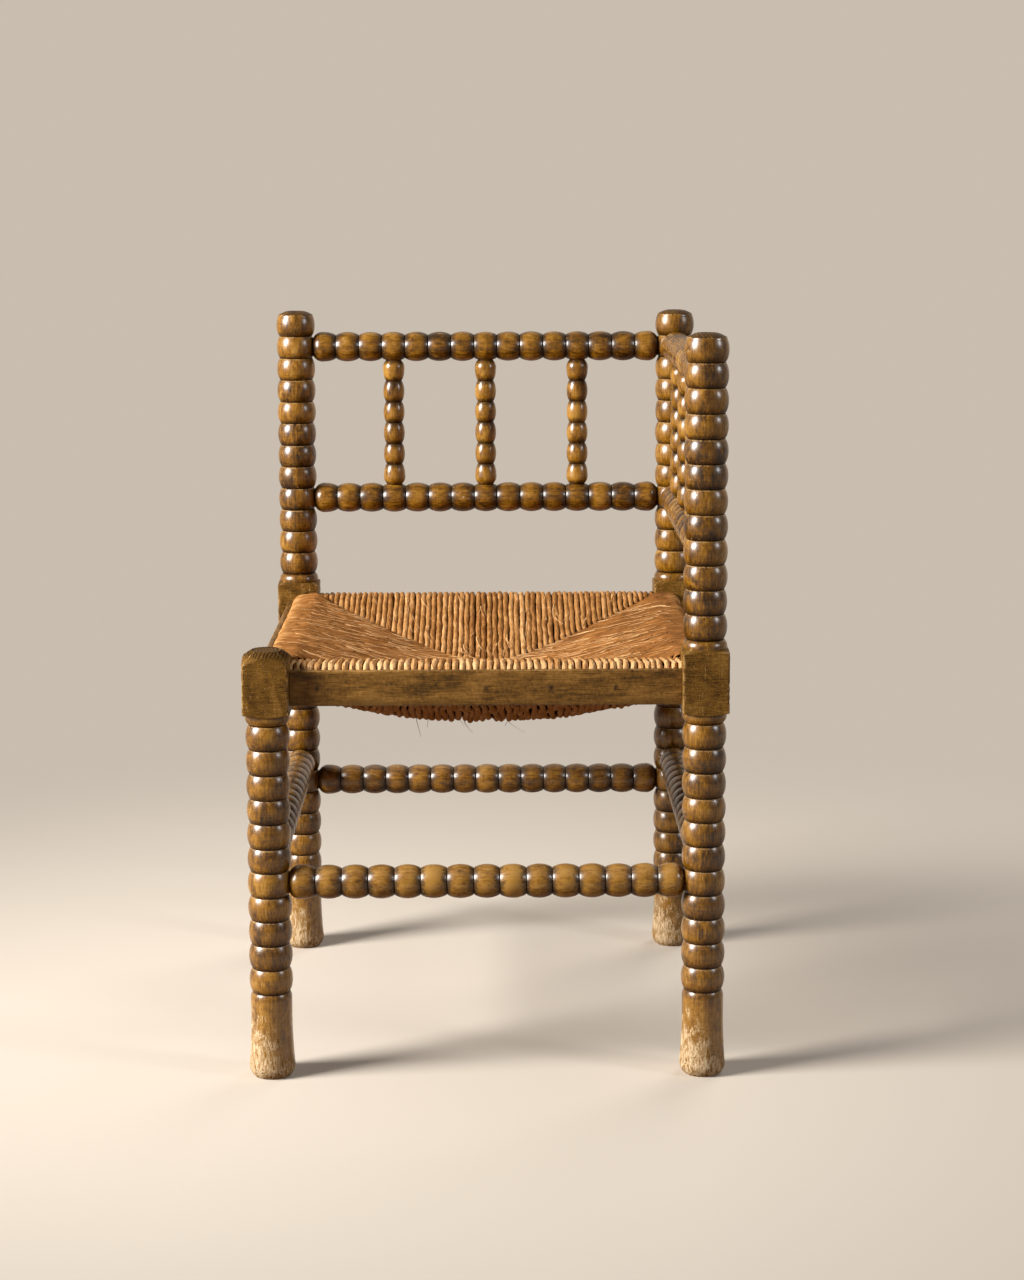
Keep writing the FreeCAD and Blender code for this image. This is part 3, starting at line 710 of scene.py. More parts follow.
@dataclass
class Profile:
    """The turned outline of a stick from its low end up, in millimetres, with the wear, grime, painted shade
    and painted highlight marks of each point.
    """

    crown: float = 0.31
    fullness: float = 0.85
    quirk_depth: float = 0.55
    quirk_width: float = 0.38
    steps: int = 6
    groove_reach: float = 0.5
    lip_drop: float = 0.9
    lip_reach: float = 0.9
    edge_shade_stain: float = 1.13
    upper_shade_stain: float = 0.55
    spacing_spread: float = 0.16
    radius_spread: float = 0.12
    tone_spread: float = 0.08
    upright: bool = False
    tint: float = 0.0
    radius: list[float] = field(default_factory=list)
    height: list[float] = field(default_factory=list)
    groove: list[float] = field(default_factory=list)
    edge: list[float] = field(default_factory=list)
    lip: list[float] = field(default_factory=list)
    tone: list[float] = field(default_factory=list)

    def add(self, radius: float, height: float, groove: float = 0.0, edge: float = 0.0, tone: float = 0.0,
            lip: float = 0.0) -> None:
        """Add one point.

        Args:
            radius: Its distance from the axis.
            height: Its place along the axis.
            groove: How deep in a groove it lies, from 0 to 1.
            edge: How near to a groove, from 0 to 1; the finish darkens it as grime and painted shade.
            tone: How much lighter the wood is there.
            lip: How much it lies on the upper lip of a bead, painted pale as wear and painted highlight, from
                0 to 1.
        """
        self.radius.append(radius)
        self.height.append(height)
        self.groove.append(groove)
        self.edge.append(edge)
        self.tone.append(tone + self.tint)
        self.lip.append(lip)

    def quarter(self, groove: float, z_groove: float, crown: float, z_crown: float) -> np.ndarray:
        """A rounded quarter from the bottom of a groove out to the crown of a bead, groove left out.

        Args:
            groove: Radius at the groove.
            z_groove: Height of the groove.
            crown: Radius of the crown.
            z_crown: Height of the crown.

        Returns:
            Radius and height of each point.
        """
        bend = math.sqrt(0.5)
        middle = (groove + (crown - groove) * bend, z_groove + (z_crown - z_groove) * (1 - bend))
        return arc_points((groove, z_groove), middle, (crown, z_crown), self.steps)

    def barrel(self, groove: float, z_groove: float, radius: float, z_crown: float) -> np.ndarray:
        """One half of a bead's rounding, from the edge of the fine quirk in its groove to the crown.

        Args:
            groove: Radius at the groove.
            z_groove: Height of the groove.
            radius: Radius of the crown.
            z_crown: Height of the crown.

        Returns:
            Radius and height of each point.
        """
        reach = 1 - self.quirk_width / abs(z_crown - z_groove)
        share = np.cos(np.linspace(0, math.pi / 2, 2 * self.steps)) * reach
        outward = groove + (radius - groove) * (1 - share**2) ** self.fullness
        return np.stack([outward, z_crown + (z_groove - z_crown) * share], 1)

    def outline(self, points: np.ndarray, low: float, high: float, tone: float) -> None:
        """Add points of one bead, with their nearness to its two grooves.

        Args:
            points: Radius and height of each.
            low: Height of the groove below.
            high: Height of the groove above.
            tone: How much lighter the bead is.
        """
        for radius, height in points:
            near = min(abs(height - low), abs(high - height))
            share = 2 * (height - low) / (high - low) - 1
            # Beads are marked darker toward their grooves as grime and painted shade; on upright posts most
            # toward the groove below, under the bead.
            edge, lip = min(1.0, self.edge_shade_stain * abs(share)), 0.0
            if self.upright:
                edge = max(-share, self.upper_shade_stain * share)
                # Upper lip of an upright bead: wear and painted highlight.
                lip = math.exp(-(((high - height - self.lip_drop) / self.lip_reach) ** 2))
            self.add(radius, height, math.exp(-((near / self.groove_reach) ** 2)), edge, tone, lip)

    def bead(self, low: float, high: float, radius: float, groove: float, tone: float) -> None:
        """Add one bead above a groove point that is already there.

        Args:
            low: Height of the groove below.
            high: Height of the groove above.
            radius: Radius of the crown.
            groove: Radius at the grooves.
            tone: How much lighter the bead is.
        """
        middle = (low + high) / 2
        rising = self.barrel(groove, low, radius, middle)
        falling = self.barrel(groove, high, radius, middle)[::-1][1:]
        bottom = [[groove - self.quirk_depth, high]]
        self.outline(np.concatenate([rising, falling, bottom]), low, high, tone)

    def bead_row(self, start: float, count: int, pitch: float, radius: float, groove: float,
                 rng: np.random.Generator) -> None:
        """Add a row of beads that differ a little, as hand-turned ones do.

        Args:
            start: Height of the first groove.
            count: How many beads.
            pitch: Their spacing.
            radius: Radius of the crowns.
            groove: Radius at the grooves.
            rng: Source of the small differences.
        """
        places = start + pitch * np.arange(count + 1)
        places[1:-1] += rng.normal(0, self.spacing_spread, count - 1)
        for low, high in zip(places, places[1:]):
            crown = radius - abs(rng.normal(0, self.radius_spread))
            self.bead(low, high, crown, groove, rng.normal(0, self.tone_spread))


@dataclass(frozen=True)
class Placing:
    """Where a stick's own axes lie in the chair. The origin is in millimetres."""

    origin: Triple
    along: Triple = (0.0, 0.0, 1.0)
    across: Triple = (1.0, 0.0, 0.0)

    def place(self, points: np.ndarray) -> np.ndarray:
        """Move points from the stick's axes to the chair's.

        Args:
            points: Points about the stick's own axes.

        Returns:
            The points in the chair.
        """
        along, across = np.array(self.along), np.array(self.across)
        axes = np.stack([across, np.cross(along, across), along])
        return np.array(self.origin) + points @ axes


class TurnedGrid:
    """The rings of a turned stick about its own Z axis, which can be cut square."""

    oval_share: float = 0.0035
    waver_share: float = 0.0012
    waver_waves: Point = (2.2, 60.0)
    nick_waves: Point = (0.9, 11.0)
    plane_depth: float = 0.10
    plane_wave: float = 0.06
    nick_depth: float = 0.35
    arris_from: float = 0.66
    arris_rub: float = 0.75

    def __init__(self, profile: Profile, angles: np.ndarray, rng: np.random.Generator) -> None:
        """Spin the profile, slightly out of round.

        Args:
            profile: The outline.
            angles: The angle of each point of a ring.
            rng: Source of the small faults.
        """
        self.profile = profile
        self.angles = angles
        self.rng = rng
        radius, height = np.array(profile.radius), np.array(profile.height)
        self.z = height[:, None] + 0 * angles
        waver = Ripple(rng, *self.waver_waves)(angles[None, :], self.z)
        oval = np.cos(2 * (angles - rng.uniform(0, math.pi)))
        self.radius = radius[:, None] * (1 - self.oval_share * (1 + oval) - self.waver_share * np.abs(waver))
        self.block = np.zeros_like(self.z)
        self.rub = np.zeros_like(self.z)
        self.foot = np.zeros_like(self.z)
        self.end = np.zeros_like(self.z)

    def square(self, turned: slice, half: float, rounding: float) -> None:
        """Cut the rings that belong to a block down to a square with rounded arrises.

        Args:
            turned: Which rings belong to the block.
            half: Half of the square's side.
            rounding: Radius of its arrises.
        """
        nick = Ripple(self.rng, *self.nick_waves)(self.angles[None, :], self.z[turned])
        away = np.abs((self.angles + math.pi / 4) % (math.pi / 2) - math.pi / 4)
        inner = half - rounding
        flat = half / np.cos(away)
        middle = math.sqrt(2) * inner
        offset = away - math.pi / 4
        bulge = np.maximum(rounding**2 - (middle * np.sin(offset)) ** 2, 0)
        corner = middle * np.cos(offset) + np.sqrt(bulge)
        side = np.where(np.tan(away) > inner / half, corner, flat)
        side = side[None, :] - self.plane_depth - self.plane_wave * np.abs(nick)
        arris = smooth(away, self.arris_from, math.pi / 4)[None, :]
        nicked = side - self.nick_depth * arris * np.maximum(nick, 0)
        self.radius[turned] = np.minimum(self.radius[turned], nicked)
        self.block[turned] = 1.0
        self.rub[turned] = np.maximum(arris * self.arris_rub, self.rub[turned])

    def points(self) -> np.ndarray:
        """The points of all rings."""
        return np.stack([self.radius * np.cos(self.angles), self.radius * np.sin(self.angles), self.z], -1)

    def layers(self, pith: np.ndarray) -> Layers:
        """The attributes that the finish reads.

        Args:
            pith: Where the stick was cut from the tree, as the place of its own origin.

        Returns:
            Attributes by name.
        """
        across = np.ones_like(self.angles)
        columns = [np.array(values)[:, None] * across for values in
                   (self.profile.groove, self.profile.edge, self.profile.tone, self.profile.lip)]
        turned = 1 - self.block
        return {
            "grain_place": (self.points() + pith) * MM,
            "marks": np.stack([columns[0] * turned, columns[1] * turned, self.foot], -1),
            "parts": np.stack([columns[2], self.block, self.rub], -1),
            "end_grain": self.end,
            "lip": columns[3],
        }


def flatten(points: np.ndarray, angle: float, height: float, reach: float, distance: float) -> None:
    """Press the points of one bead back to a flat that another stick's shoulder seats on.

    Args:
        points: The stick's points about its own axis, changed in place.
        angle: Which way the flat faces.
        height: Its middle along the stick.
        reach: Half of its height.
        distance: Its distance from the axis.
    """
    facing = np.array([math.cos(angle), math.sin(angle)])
    beyond = points[..., :2] @ facing - distance
    pressed = (np.abs(points[..., 2] - height) < reach) & (beyond > 0)
    points[..., :2] -= np.where(pressed, beyond, 0)[..., None] * facing


def pith_place(rng: np.random.Generator) -> np.ndarray:
    """A place in the tree for a stick: some way from the heart, anywhere along the trunk."""
    angle, away = rng.uniform(0, 2 * math.pi), rng.uniform(*PITH_AWAY)
    return np.array([away * math.cos(angle), away * math.sin(angle), rng.uniform(0, TRUNK_LENGTH)])


def corner_angles(per_side: int) -> np.ndarray:
    """Angles round a post, closer together at the arrises of its square block.

    Args:
        per_side: How many for each side of the block.

    Returns:
        The angles.
    """
    share = np.linspace(-1, 1, per_side + 1)[:-1]
    quarter = math.pi / 4 * (1.5 * share - 0.5 * share**3)
    return np.concatenate([quarter + turn * math.pi / 2 for turn in range(4)])


@dataclass
class Posts:
    """The four turned posts with their square seat blocks. Millimetres."""

    finish: TurnedWood
    half_spacing: float = 206.0
    foot_height: float = 82.5
    foot_shoulder: float = 7.4
    foot_tone: float = 0.14
    foot_shade_stain: float = 0.3
    foot_shade_stain_reach: Point = (55.0, 80.0)
    shoulder_shade_stain: Point = (0.35, 0.5)
    shoulder_shade_stain_reach: float = 1.5
    ring_shade_stain_reach: float = 3.0
    toe_radius: float = 18.0
    toe_core: float = 0.5
    swell: Point = (21.7, 13.0)
    waist: Point = (19.9, 46.0)
    radius: float = 20.9
    groove: float = 17.6
    pitch: float = 23.6
    beads: int = 11
    ring_height: float = 9.0
    block_half: float = 22.0
    block_height: float = 62.0
    arris: float = 1.5
    shoulder_drop: float = 3.6
    dome_drop: float = 5.2
    top_bead: float = 27.0
    top_middle: float = 11.4
    top_reach: float = 12.7
    top_drop: float = 4.3
    top_round: float = 9.4
    top_flat: float = 14.3
    top_fade: float = 8.0
    top_fall: float = 1.35
    top_gap: float = 0.4
    top_rounding: int = 8
    rim_step: float = 0.1
    rim_bevel: float = 0.45
    rim_lips: Triple = (0.9, 0.8, 0.3)
    lathe_marks: tuple[Point, ...] = (
        (1.0, 0.0), (0.93, 0.0), (0.88, 0.55), (0.8, 0.6), (0.74, 0.15), (0.62, 0.2),
        (0.57, 0.5), (0.5, 0.25), (0.32, 0.3), (0.27, 0.55), (0.2, 0.35),
    )
    lathe_shade_stain: Point = (0.5, 1.6)
    dome_end: Point = (9.0, 3.0)
    tone_spread: float = 0.05
    wear_side: float = 205.0
    wear_height: float = 32.0
    wear_lean: float = 24.0
    wear_patch: float = 7.0
    wear_waves: Point = (1.6, 24.0)
    wear_fade: Point = (-30.0, 28.0)
    short_tint: float = 0.06
    seat_flat: float = 18.7
    flat_reach: float = 11.1
    rail_heights: tuple[float, ...] = (669.9, 504.7)
    front_stretcher: float = 188.7
    side_stretcher: float = 212.3
    per_side: int = 26
    toe_rings: int = 8
    foot_rings: int = 22
    shoulder_rings: int = 12
    block_rings: int = 22
    dome_rings: int = 20
    seed: int = 410

    @property
    def block_bottom(self) -> float:
        """Height of the underside of the seat blocks."""
        return self.foot_height + self.beads * self.pitch + self.ring_height

    @property
    def block_top(self) -> float:
        """Height of the top of the seat blocks."""
        return self.block_bottom + self.block_height

    def foot(self, profile: Profile) -> None:
        """Add the plain foot: toe, swell, waist and rounded shoulder.

        Args:
            profile: The post's outline, still empty.
        """
        neck = self.radius - (self.radius - self.groove) * profile.crown
        neck_height = self.foot_height - self.foot_shoulder
        bend = math.sqrt(0.5)
        middle = (self.toe_radius + (self.swell[0] - self.toe_radius) * bend, self.swell[1] * (1 - bend))
        profile.add(self.toe_radius * self.toe_core, 0.0)
        profile.add(self.toe_radius, 0.0)
        for radius, height in arc_points((self.toe_radius, 0.0), middle, self.swell, self.toe_rings):
            profile.add(radius, height)
        for radius, height in arc_points(self.swell, self.waist, (neck, neck_height), self.foot_rings):
            # The foot darkens toward its neck: grime and painted shade.
            stain = self.foot_shade_stain * smooth(height, *self.foot_shade_stain_reach)
            profile.add(radius, height, 0.0, stain, self.foot_tone)
        shoulder = profile.barrel(self.groove, self.foot_height, neck, neck_height)[::-1][1:]
        self.last_shoulder(profile, shoulder, self.foot_height)

    def last_shoulder(self, profile: Profile, points: np.ndarray, groove_height: float) -> None:
        """Add a shoulder that falls into a groove, then the groove itself.

        Args:
            profile: The post's outline so far.
            points: Radius and height of the shoulder's points.
            groove_height: Height of the groove.
        """
        # Edge marks toward the groove: grime and painted shade.
        even, deeper = self.shoulder_shade_stain
        for radius, height in points:
            near = abs(groove_height - height)
            groove = math.exp(-((near / profile.groove_reach) ** 2))
            profile.add(radius, height, groove, even + deeper * math.exp(-near / self.shoulder_shade_stain_reach))
        profile.add(self.groove - profile.quirk_depth, groove_height, 1.0, 1.0)

    def block(self, profile: Profile, short: bool) -> tuple[int, int]:
        """Add the rings of the seat block, as wide as its turned shoulders.

        Args:
            profile: The post's outline so far.
            short: True for the post that ends in a dome.

        Returns:
            The first ring that is cut square and the first one after the block.
        """
        corner = self.block_half * math.sqrt(2) + 1
        shares = np.linspace(0, 1, self.shoulder_rings + 1)[1:]
        first = len(profile.radius)
        for share in shares:
            radius = self.radius + (corner - self.radius) * share
            profile.add(radius, self.block_bottom + self.shoulder_drop * share)
        high = self.block_top - (2 * self.dome_drop + self.shoulder_drop if short else self.shoulder_drop)
        for height in np.linspace(self.block_bottom + self.shoulder_drop, high, self.block_rings)[1:]:
            profile.add(corner, height)
        if short:
            side = (self.block_half, self.block_top - self.dome_drop)
            flat = (self.top_flat, self.block_top)
            for radius, height in arc_points((corner, high), side, flat, self.dome_rings):
                profile.add(radius, height)
        else:
            for share in shares:
                profile.add(corner + (self.radius - corner) * share, high + self.shoulder_drop * share)
        return first, len(profile.radius)

    def upper_beads(self, profile: Profile, rng: np.random.Generator) -> tuple[float, int]:
        """Add the beads above the block and the rounded top bead.

        Args:
            profile: The post's outline so far.
            rng: Source of the small differences between beads.

        Returns:
            The height of the top and the first ring of its end grain.
        """
        start = self.block_top + self.ring_height
        falling = profile.quarter(self.groove, start, self.radius, self.block_top)[::-1][1:]
        self.last_shoulder(profile, falling, start)
        profile.bead_row(start, self.beads, self.pitch, self.radius, self.groove, rng)
        low = start + self.beads * self.pitch
        top, middle = low + self.top_bead, low + self.top_middle
        rising = profile.barrel(self.groove, low, self.radius, middle)
        over = profile.barrel(self.groove, middle + self.top_reach, self.radius, middle)[::-1][1:]
        over = over[over[:, 1] < top - self.top_drop - self.top_gap]
        tone = rng.normal(0, self.tone_spread)
        profile.outline(np.concatenate([rising, over]), low, top + self.top_fade, tone)
        rim = (profile.radius[-1] - self.rim_bevel, top - self.top_drop + self.rim_bevel)
        # The top rim's lip marks: wear and painted highlight.
        profile.add(profile.radius[-1] - self.rim_step, top - self.top_drop, lip=self.rim_lips[0])
        first_end = len(profile.radius)
        profile.add(*rim, lip=self.rim_lips[1])
        for share in np.linspace(0, 1, self.top_rounding)[1:-1]:
            fall = (rim[1] - top) * (1 - share) ** self.top_fall
            radius = rim[0] + (self.top_round - rim[0]) * share
            profile.add(radius, top + fall, lip=self.rim_lips[2] * (1 - share))
        return top, first_end

    def profile(self, short: bool, rng: np.random.Generator) -> tuple[Profile, tuple[int, int], int]:
        """The whole outline of a post.

        Args:
            short: True for the post that ends at the seat.
            rng: Source of the small differences between beads.

        Returns:
            The outline, the rings of the block and the first ring of the end grain on top.
        """
        profile = Profile(upright=True, tint=self.short_tint if short else 0.0)
        self.foot(profile)
        profile.bead_row(self.foot_height, self.beads, self.pitch, self.radius, self.groove, rng)
        lower_top = self.foot_height + self.beads * self.pitch
        # Darker toward the groove under the block: grime and painted shade.
        for radius, height in profile.quarter(self.groove, lower_top, self.radius, self.block_bottom):
            near = height - lower_top
            groove = math.exp(-((near / profile.groove_reach) ** 2))
            profile.add(radius, height, groove, math.exp(-near / self.ring_shade_stain_reach))
        rings = self.block(profile, short)
        top, flat, first_end = self.block_top, self.top_flat, len(profile.radius)
        if not short:
            top, first_end = self.upper_beads(profile, rng)
            flat = self.top_round
        # Darker in the deeper lathe rings on the top: grime and painted shade.
        darkest, steepness = self.lathe_shade_stain
        for share, drop in self.lathe_marks:
            profile.add(flat * share, top - drop, darkest * min(1.0, drop * steepness))
        return profile, rings, first_end

    def seats(self, right: bool, back: bool) -> list[tuple[float, float]]:
        """Where other sticks seat on a post.

        Args:
            right: True for a post on the right.
            back: True for a post at the back.

        Returns:
            Angle and height of each flat.
        """
        toward_x = math.pi if right else 0.0
        toward_y = -math.pi / 2 if back else math.pi / 2
        found = [(toward_x, self.front_stretcher), (toward_y, self.side_stretcher)]
        for height in self.rail_heights:
            if back:
                found.append((toward_x, height))
            if right:
                found.append((toward_y, height))
        return found

    def build(self, material: bpy.types.Material) -> None:
        """Make the four posts.

        Args:
            material: Their finish.
        """
        for number, (right, back) in enumerate(((False, False), (True, False), (False, True), (True, True))):
            rng = np.random.default_rng(self.seed + number)
            short = not right and not back
            profile, rings, first_end = self.profile(short, rng)
            grid = TurnedGrid(profile, corner_angles(self.per_side), rng)
            grid.square(slice(*rings), self.block_half, self.arris)
            grid.end[first_end:] = 1.0
            if short:
                low, high = (self.block_top - drop for drop in self.dome_end)
                grid.end = np.maximum(grid.end, smooth(grid.z, low, high))
            self.wear(grid, rng)
            points = grid.points()
            for angle, height in self.seats(right, back):
                flatten(points, angle, height, self.flat_reach, self.seat_flat)
            layers = grid.layers(pith_place(rng))
            x = self.half_spacing if right else -self.half_spacing
            y = self.half_spacing if back else -self.half_spacing
            name = f"{'back' if back else 'front'}_{'right' if right else 'left'}"
            mesh = GridMesh()
            mesh.add_tube(Placing((x, y, 0.0)).place(points), layers)
            mesh.make(f"turned_post_{name}", material, self.finish.slot, f"post_{name}")

    def wear(self, grid: TurnedGrid, rng: np.random.Generator) -> None:
        """Mark the bare toe, worn highest on its left side, a little to the front.

        Args:
            grid: The post's rings.
            rng: Source of the patches.
        """
        facing = np.cos(grid.angles - math.radians(self.wear_side))[None, :]
        patch = Ripple(rng, *self.wear_waves)(grid.angles[None, :], grid.z)
        reach = self.wear_height + self.wear_lean * facing + self.wear_patch * patch
        grid.foot = 1 - smooth(grid.z - reach, *self.wear_fade)


@dataclass
class Sticks:
    """The beaded rails of the two backs, their spindles and the stretchers. Millimetres."""

    finish: TurnedWood
    away: float = 206.0
    seat_flat: float = 18.7
    rail_radius: float = 16.2
    rail_groove: float = 12.6
    rail_end: float = 9.0
    rail_beads: int = 15
    rail_flat: float = 14.3
    spindle_radius: float = 11.6
    spindle_groove: float = 8.5
    spindle_end: float = 7.5
    spindle_beads: int = 6
    spindle_places: tuple[int, ...] = (4, 8, 12)
    top_rail: float = 669.9
    lower_rail: float = 504.7
    front_stretcher: float = 188.7
    side_stretcher: float = 212.3
    # The front stretcher is lighter all round: wear, and painted light for the light on its top.
    front_tint: float = 0.33
    spindle_tint: float = 0.17
    tone_spread: float = 0.05
    sink: float = 0.8
    end_core: float = 0.6
    end_dark: Point = (0.6, 0.8)
    flat_margin: float = 0.7
    rail_around: int = 72
    spindle_around: int = 56
    seed: int = 500

    @property
    def rail_length(self) -> float:
        """Length of a rail or stretcher between the flats of its posts."""
        return 2 * (self.away - self.seat_flat)

    @property
    def spindle_length(self) -> float:
        """Length of a spindle between the flats of its rails."""
        return self.top_rail - self.lower_rail - 2 * self.rail_flat

    def profile(self, length: float, beads: int, radius: float, groove: float, end: float,
                rng: np.random.Generator, tint: float = 0.0) -> Profile:
        """The outline of a stick whose last beads are drawn in like half an egg.

        Args:
            length: From shoulder to shoulder.
            beads: How many beads.
            radius: Radius of the crowns.
            groove: Radius at the grooves.
            end: Radius at the shoulders.
            rng: Source of the small differences between beads.
            tint: How much lighter the whole stick is.

        Returns:
            The outline.
        """
        profile = Profile(tint=tint)
        pitch = length / beads
        drawn = profile.quarter(end, 0.0, radius, pitch / 2)
        inner = profile.barrel(groove, pitch, radius, pitch / 2)[::-1][1:]
        half = np.concatenate([drawn, inner])
        core_dark, rim_dark = self.end_dark
        profile.add(end * self.end_core, -self.sink, core_dark, 1.0)
        profile.add(end, -self.sink, rim_dark, 1.0)
        tone = rng.normal(0, self.tone_spread)
        bottom = [[groove - profile.quirk_depth, pitch]]
        profile.outline(np.concatenate([half, bottom]), 0.0, pitch, tone)
        profile.bead_row(pitch, beads - 2, pitch, radius, groove, rng)
        mirrored = half[::-1] * [1, -1] + [0, length]
        profile.outline(mirrored, length - pitch, length, rng.normal(0, self.tone_spread))
        profile.add(end, length + self.sink, rim_dark, 1.0)
        profile.add(end * self.end_core, length + self.sink, core_dark, 1.0)
        return profile

    def make(self, node: str, profile: Profile, around: int, placing: Placing, flats: list[float],
             material: bpy.types.Material, rng: np.random.Generator) -> None:
        """Make one stick.

        Args:
            node: The CAD node that it stands for.
            profile: Its outline.
            around: Points of a ring.
            placing: Where it lies.
            flats: Angle of the spindles' flats, or nothing.
            material: Its finish.
            rng: Source of its small faults.
        """
        grid = TurnedGrid(profile, np.arange(around) * 2 * math.pi / around, rng)
        points = grid.points()
        pitch = self.rail_length / self.rail_beads
        for angle in flats:
            for number in self.spindle_places:
                flatten(points, angle, (number - 0.5) * pitch, pitch / 2 - self.flat_margin, self.rail_flat)
        mesh = GridMesh()
        mesh.add_tube(placing.place(points), grid.layers(pith_place(rng)))
        mesh.make(f"turned_{node}", material, self.finish.slot, node)

    def rail_placing(self, side: Side, height: float) -> Placing:
        """Where a rail or stretcher lies, its own X facing down.

        Args:
            side: The side that it is on.
            height: The height of its axis.

        Returns:
            Its placing.
        """
        half = self.rail_length / 2
        origin = side.turned(np.array([0.0, -self.away, height]))
        along = (1.0, 0.0, 0.0) if side.along_x else (0.0, 1.0, 0.0)
        start = origin - half * np.array(along)
        return Placing(tuple(float(value) for value in start), along, (0.0, 0.0, -1.0))

    def build(self, material: bpy.types.Material) -> None:
        """Make all rails, spindles and stretchers.

        Args:
            material: Their finish.
        """
        rail = (self.rail_length, self.rail_beads, self.rail_radius, self.rail_groove, self.rail_end)
        thin = (self.spindle_length, self.spindle_beads, self.spindle_radius, self.spindle_groove,
                self.spindle_end)
        levels = (("top", self.top_rail, [0.0]), ("lower", self.lower_rail, [math.pi]))
        seed = self.seed
        for label, side in (("back", Side.BACK), ("side", Side.RIGHT)):
            for level, height, flats in levels:
                rng = np.random.default_rng(seed := seed + 1)
                profile = self.profile(*rail, rng)
                self.make(f"{label}_{level}_rail", profile, self.rail_around, self.rail_placing(side, height),
                          flats, material, rng)
            for count, number in enumerate(self.spindle_places, start=1):
                rng = np.random.default_rng(seed := seed + 1)
                across = (number - 0.5) * self.rail_length / self.rail_beads - self.rail_length / 2
                place = side.turned(np.array([across, -self.away, self.lower_rail + self.rail_flat]))
                profile = self.profile(*thin, rng, self.spindle_tint)
                self.make(f"{label}_spindle_{count}", profile, self.spindle_around,
                          Placing(tuple(float(value) for value in place)), [], material, rng)
        for side in Side:
            rng = np.random.default_rng(seed := seed + 1)
            height = self.front_stretcher if side.along_x else self.side_stretcher
            profile = self.profile(*rail, rng, self.front_tint if side is Side.FRONT else 0.0)
            self.make(f"{side.label}_stretcher", profile, self.rail_around, self.rail_placing(side, height),
                      [], material, rng)


